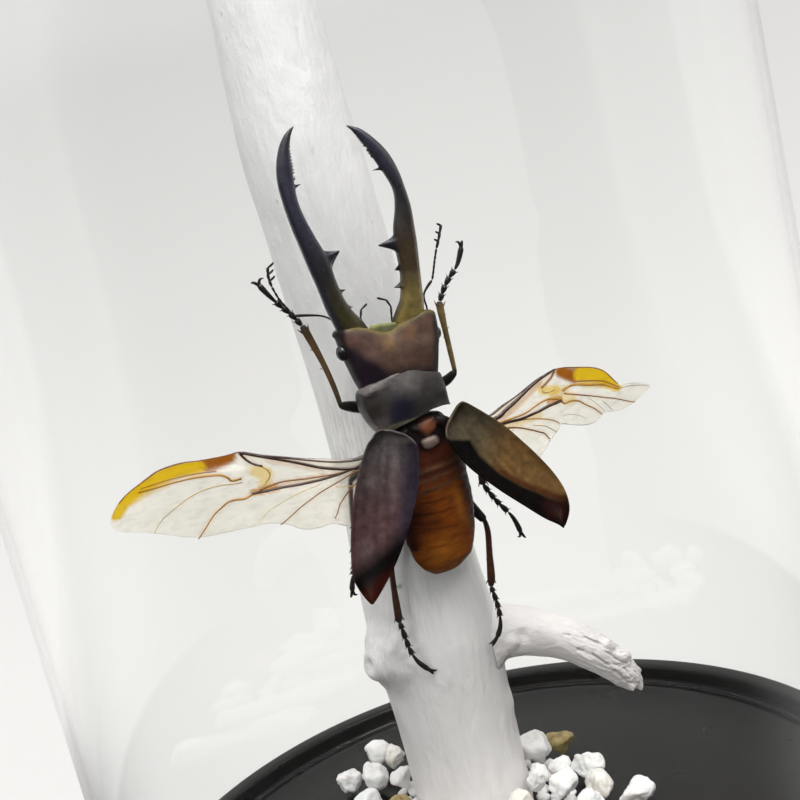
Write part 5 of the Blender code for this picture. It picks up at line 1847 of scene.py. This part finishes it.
VEIN_COLOURS = {"dark": Vector((0.04, 0.014, 0.008)), "brown": Vector((0.22, 0.085, 0.014)),
                "golden": Vector((0.44, 0.21, 0.014)), "pale": Vector((0.55, 0.38, 0.12))}
MEMBRANE_CREAM = Vector((0.97, 0.94, 0.85))
MEMBRANE_THICKNESS = 0.10


def on_wing(place):
    """Lay a flat wing on its slope, with waves that run along its folds."""
    x, y, z = place
    out = abs(x)
    slope = -1.0 + 0.15 * (out - 8.0)
    wave = (0.34 * math.sin(0.62 * z + 0.11 * out) + 0.22 * math.sin(1.25 * z - 0.30 * out + 1.0)
            + 0.5 * noise.noise(Vector((out * 0.13, z * 0.28, 3.0))))
    loose = clamp((out - 10.0) / 14.0, 0.25)
    fold = 0.55 * hill(out, 33.0, 1.3)
    return x, y + slope + wave * loose + fold, z


def draw_membrane(name, lead, trail):
    """Extrude the line from trailing to leading edge along the wing, then thicken it."""
    rows = soften([(*front, *back) for front, back in zip(lead, trail)], 5)
    deselect()
    bpy.ops.mesh.primitive_grid_add(x_subdivisions=1, y_subdivisions=34, size=2.0 * MM)
    membrane = start_shape(name)
    bpy.ops.mesh.bisect(plane_co=(0.0, 0.0, 0.0), plane_no=(1.0, 0.0, 0.0), clear_outer=True,
                        clear_inner=True)
    bpy.ops.mesh.select_all(action="SELECT")
    swing(math.radians(90.0), (0.0, 0.0, 0.0), "X")
    middle, reach, angle = Vector(), 2.0, 0.0
    for i, (lead_x, lead_z, trail_x, trail_z) in enumerate(rows):
        if i:
            bpy.ops.mesh.extrude_region_move()
        span = Vector((lead_x - trail_x, 0.0, lead_z - trail_z))
        onward = Vector(((lead_x + trail_x) / 2, 0.0, (lead_z + trail_z) / 2)) * MM
        bpy.ops.transform.translate(value=onward - middle)
        turn = math.atan2(span.x, span.z) - angle
        swing(turn, onward)
        wider = span.length / reach
        bpy.ops.transform.resize(value=(wider, wider, wider), center_override=onward)
        middle, reach, angle = onward, span.length, angle + turn
    face_out()
    use_modifier(membrane, "SOLIDIFY", thickness=MEMBRANE_THICKNESS * MM, offset=0.0)
    return membrane


def path_distance(x, z, path):
    """How far a place is from a path of straight reaches."""
    spot = Vector((x, z))
    nearest = 1000.0
    for start, end in zip(path, path[1:]):
        start, reach = Vector(start), Vector(end) - Vector(start)
        share = clamp((spot - start).dot(reach) / reach.length_squared)
        nearest = min(nearest, (spot - start - reach * share).length)
    return nearest


def make_wing(node, lead, trail, veins, stains):
    membrane = draw_membrane("membrane", lead, trail)

    def membrane_colour(place):
        colour = MEMBRANE_CREAM
        for key, reach, strength, path in stains:
            share = clamp(0.5 + 2.2 * (1.0 - path_distance(place.x, place.z, path) / reach))
            colour = toward(colour, STAIN_COLOURS[key], strength * share)
        for key, start_width, end_width, path in veins:
            if key == "pale" or start_width < 0.1:
                continue
            share = 1.0 - (path_distance(place.x, place.z, path) - start_width) / 0.4
            colour = toward(colour, STAIN_COLOURS["amber"], 0.2 * share)
        return colour

    tint(membrane, "wing_colour", membrane_colour)
    cover(membrane, membrane_finish)
    parts = [membrane]
    for key, start_width, end_width, path in veins:
        points = soften(path, 3)
        last = len(points) - 1
        stations = []
        for i, (x, z) in enumerate(points):
            width = start_width + (end_width - start_width) * i / last
            stations.append((x, 0.0, z, width, 0.6 * width + 0.06))
        vein = draw_tube("vein", stations, 8)
        shade = VEIN_COLOURS[key]
        tint(vein, "wing_colour", lambda place: shade)
        cover(vein, vein_finish)
        smooth_skin(vein, 0)
        parts.append(vein)
    wing = join_pieces(node + "_wing", parts)
    reshape(wing, on_wing)
    smooth_skin(wing, 0)
    wing.visible_shadow = False
    seat(wing, node)


membrane_finish = new_finish("wing_membrane", tuple(MEMBRANE_CREAM), 0.22, Transmission_Weight=1.0, IOR=1.38)
membrane_clouds = mottle(membrane_finish, 2.4, 4.0, (1.0, 1.0, 0.4), rough=0.6)
membrane_shade = steps(membrane_finish, membrane_clouds, [(0.3, 0.88), (0.55, 1.0)])
feed(membrane_finish, "Base Color", blend_colours(
    membrane_finish, 1.0, stored_colour(membrane_finish, "wing_colour"), membrane_shade, "MULTIPLY"))
crumple = relief(membrane_finish, mottle(membrane_finish, 1.1, 4.0, (1.0, 1.0, 0.35), rough=0.6), 0.05)
relief(membrane_finish, mottle(membrane_finish, 4.0, 2.0), 0.08, crumple)
vein_finish = new_finish("wing_vein", (0.16, 0.055, 0.012), 0.35, Coat_Weight=0.3, Coat_Roughness=0.2)
vein_shade = steps(vein_finish, mottle(vein_finish, 0.8, 3.0), [(0.3, 0.7), (0.7, 1.25)])
feed(vein_finish, "Base Color", blend_colours(
    vein_finish, 1.0, stored_colour(vein_finish, "wing_colour"), vein_shade, "MULTIPLY"))
relief(vein_finish, mottle(vein_finish, 0.3, 3.0), 0.02)
make_wing("hind_wing_left", LEAD_LEFT, TRAIL_LEFT, VEINS_LEFT, STAINS_LEFT)
make_wing("hind_wing_right", LEAD_RIGHT, TRAIL_RIGHT, VEINS_RIGHT, STAINS_RIGHT)


# --------
# The dome: a bell of clear blown glass with an even wall and a rounded top. Its ground foot
# stands on the deck inside the rim, and it lifts off.
DOME_LOW, DOME_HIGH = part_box("dome")
DOME_RADIUS = DOME_HIGH.x / MM
DOME_FOOT = DOME_LOW.z / MM
DOME_TOP = DOME_HIGH.z / MM
DOME_SHOULDER = 168.0
DOME_WALL = 1.4
DOME_CURVE_STEPS = 26
# The close rings over the foot keep its rounding from bending what is seen through the wall.
dome_profile = [(DOME_RADIUS, DOME_FOOT), (DOME_RADIUS, DOME_FOOT + 0.9), (DOME_RADIUS, DOME_FOOT + 1.4),
                (DOME_RADIUS, 60.0), (DOME_RADIUS, DOME_SHOULDER)]
for i in range(1, DOME_CURVE_STEPS):
    angle = math.radians(90.0 * i / DOME_CURVE_STEPS)
    dome_profile.append((DOME_RADIUS * math.cos(angle),
                         DOME_SHOULDER + (DOME_TOP - DOME_SHOULDER) * math.sin(angle)))
dome_profile.append((0.6, DOME_TOP))
dome = turn_rings("glass_dome", dome_profile, 144)
open_up(dome)
select_faces(dome, lambda middle, normal: middle.z < (DOME_FOOT + 0.1) * MM and abs(normal.z) > 0.9)
bpy.ops.mesh.delete(type="FACE")
close_up()
use_modifier(dome, "SOLIDIFY", thickness=DOME_WALL * MM, offset=-1.0)
open_up(dome)
select_points(dome, lambda place: place.z < (DOME_FOOT + 0.1) * MM)
bpy.ops.mesh.bevel(offset=0.7 * MM, segments=3, affect="EDGES")
close_up()
smooth_skin(dome, 0, edge_angle=40.0)

glass = new_finish("clear_glass", (0.985, 0.993, 0.990), 0.0, Transmission_Weight=1.0, IOR=1.45)
relief(glass, mottle(glass, 70.0, 1.0), 0.05)
cover(dome, glass)
dome.visible_shadow = False
dome.visible_diffuse = False
carry(dome, "dome")
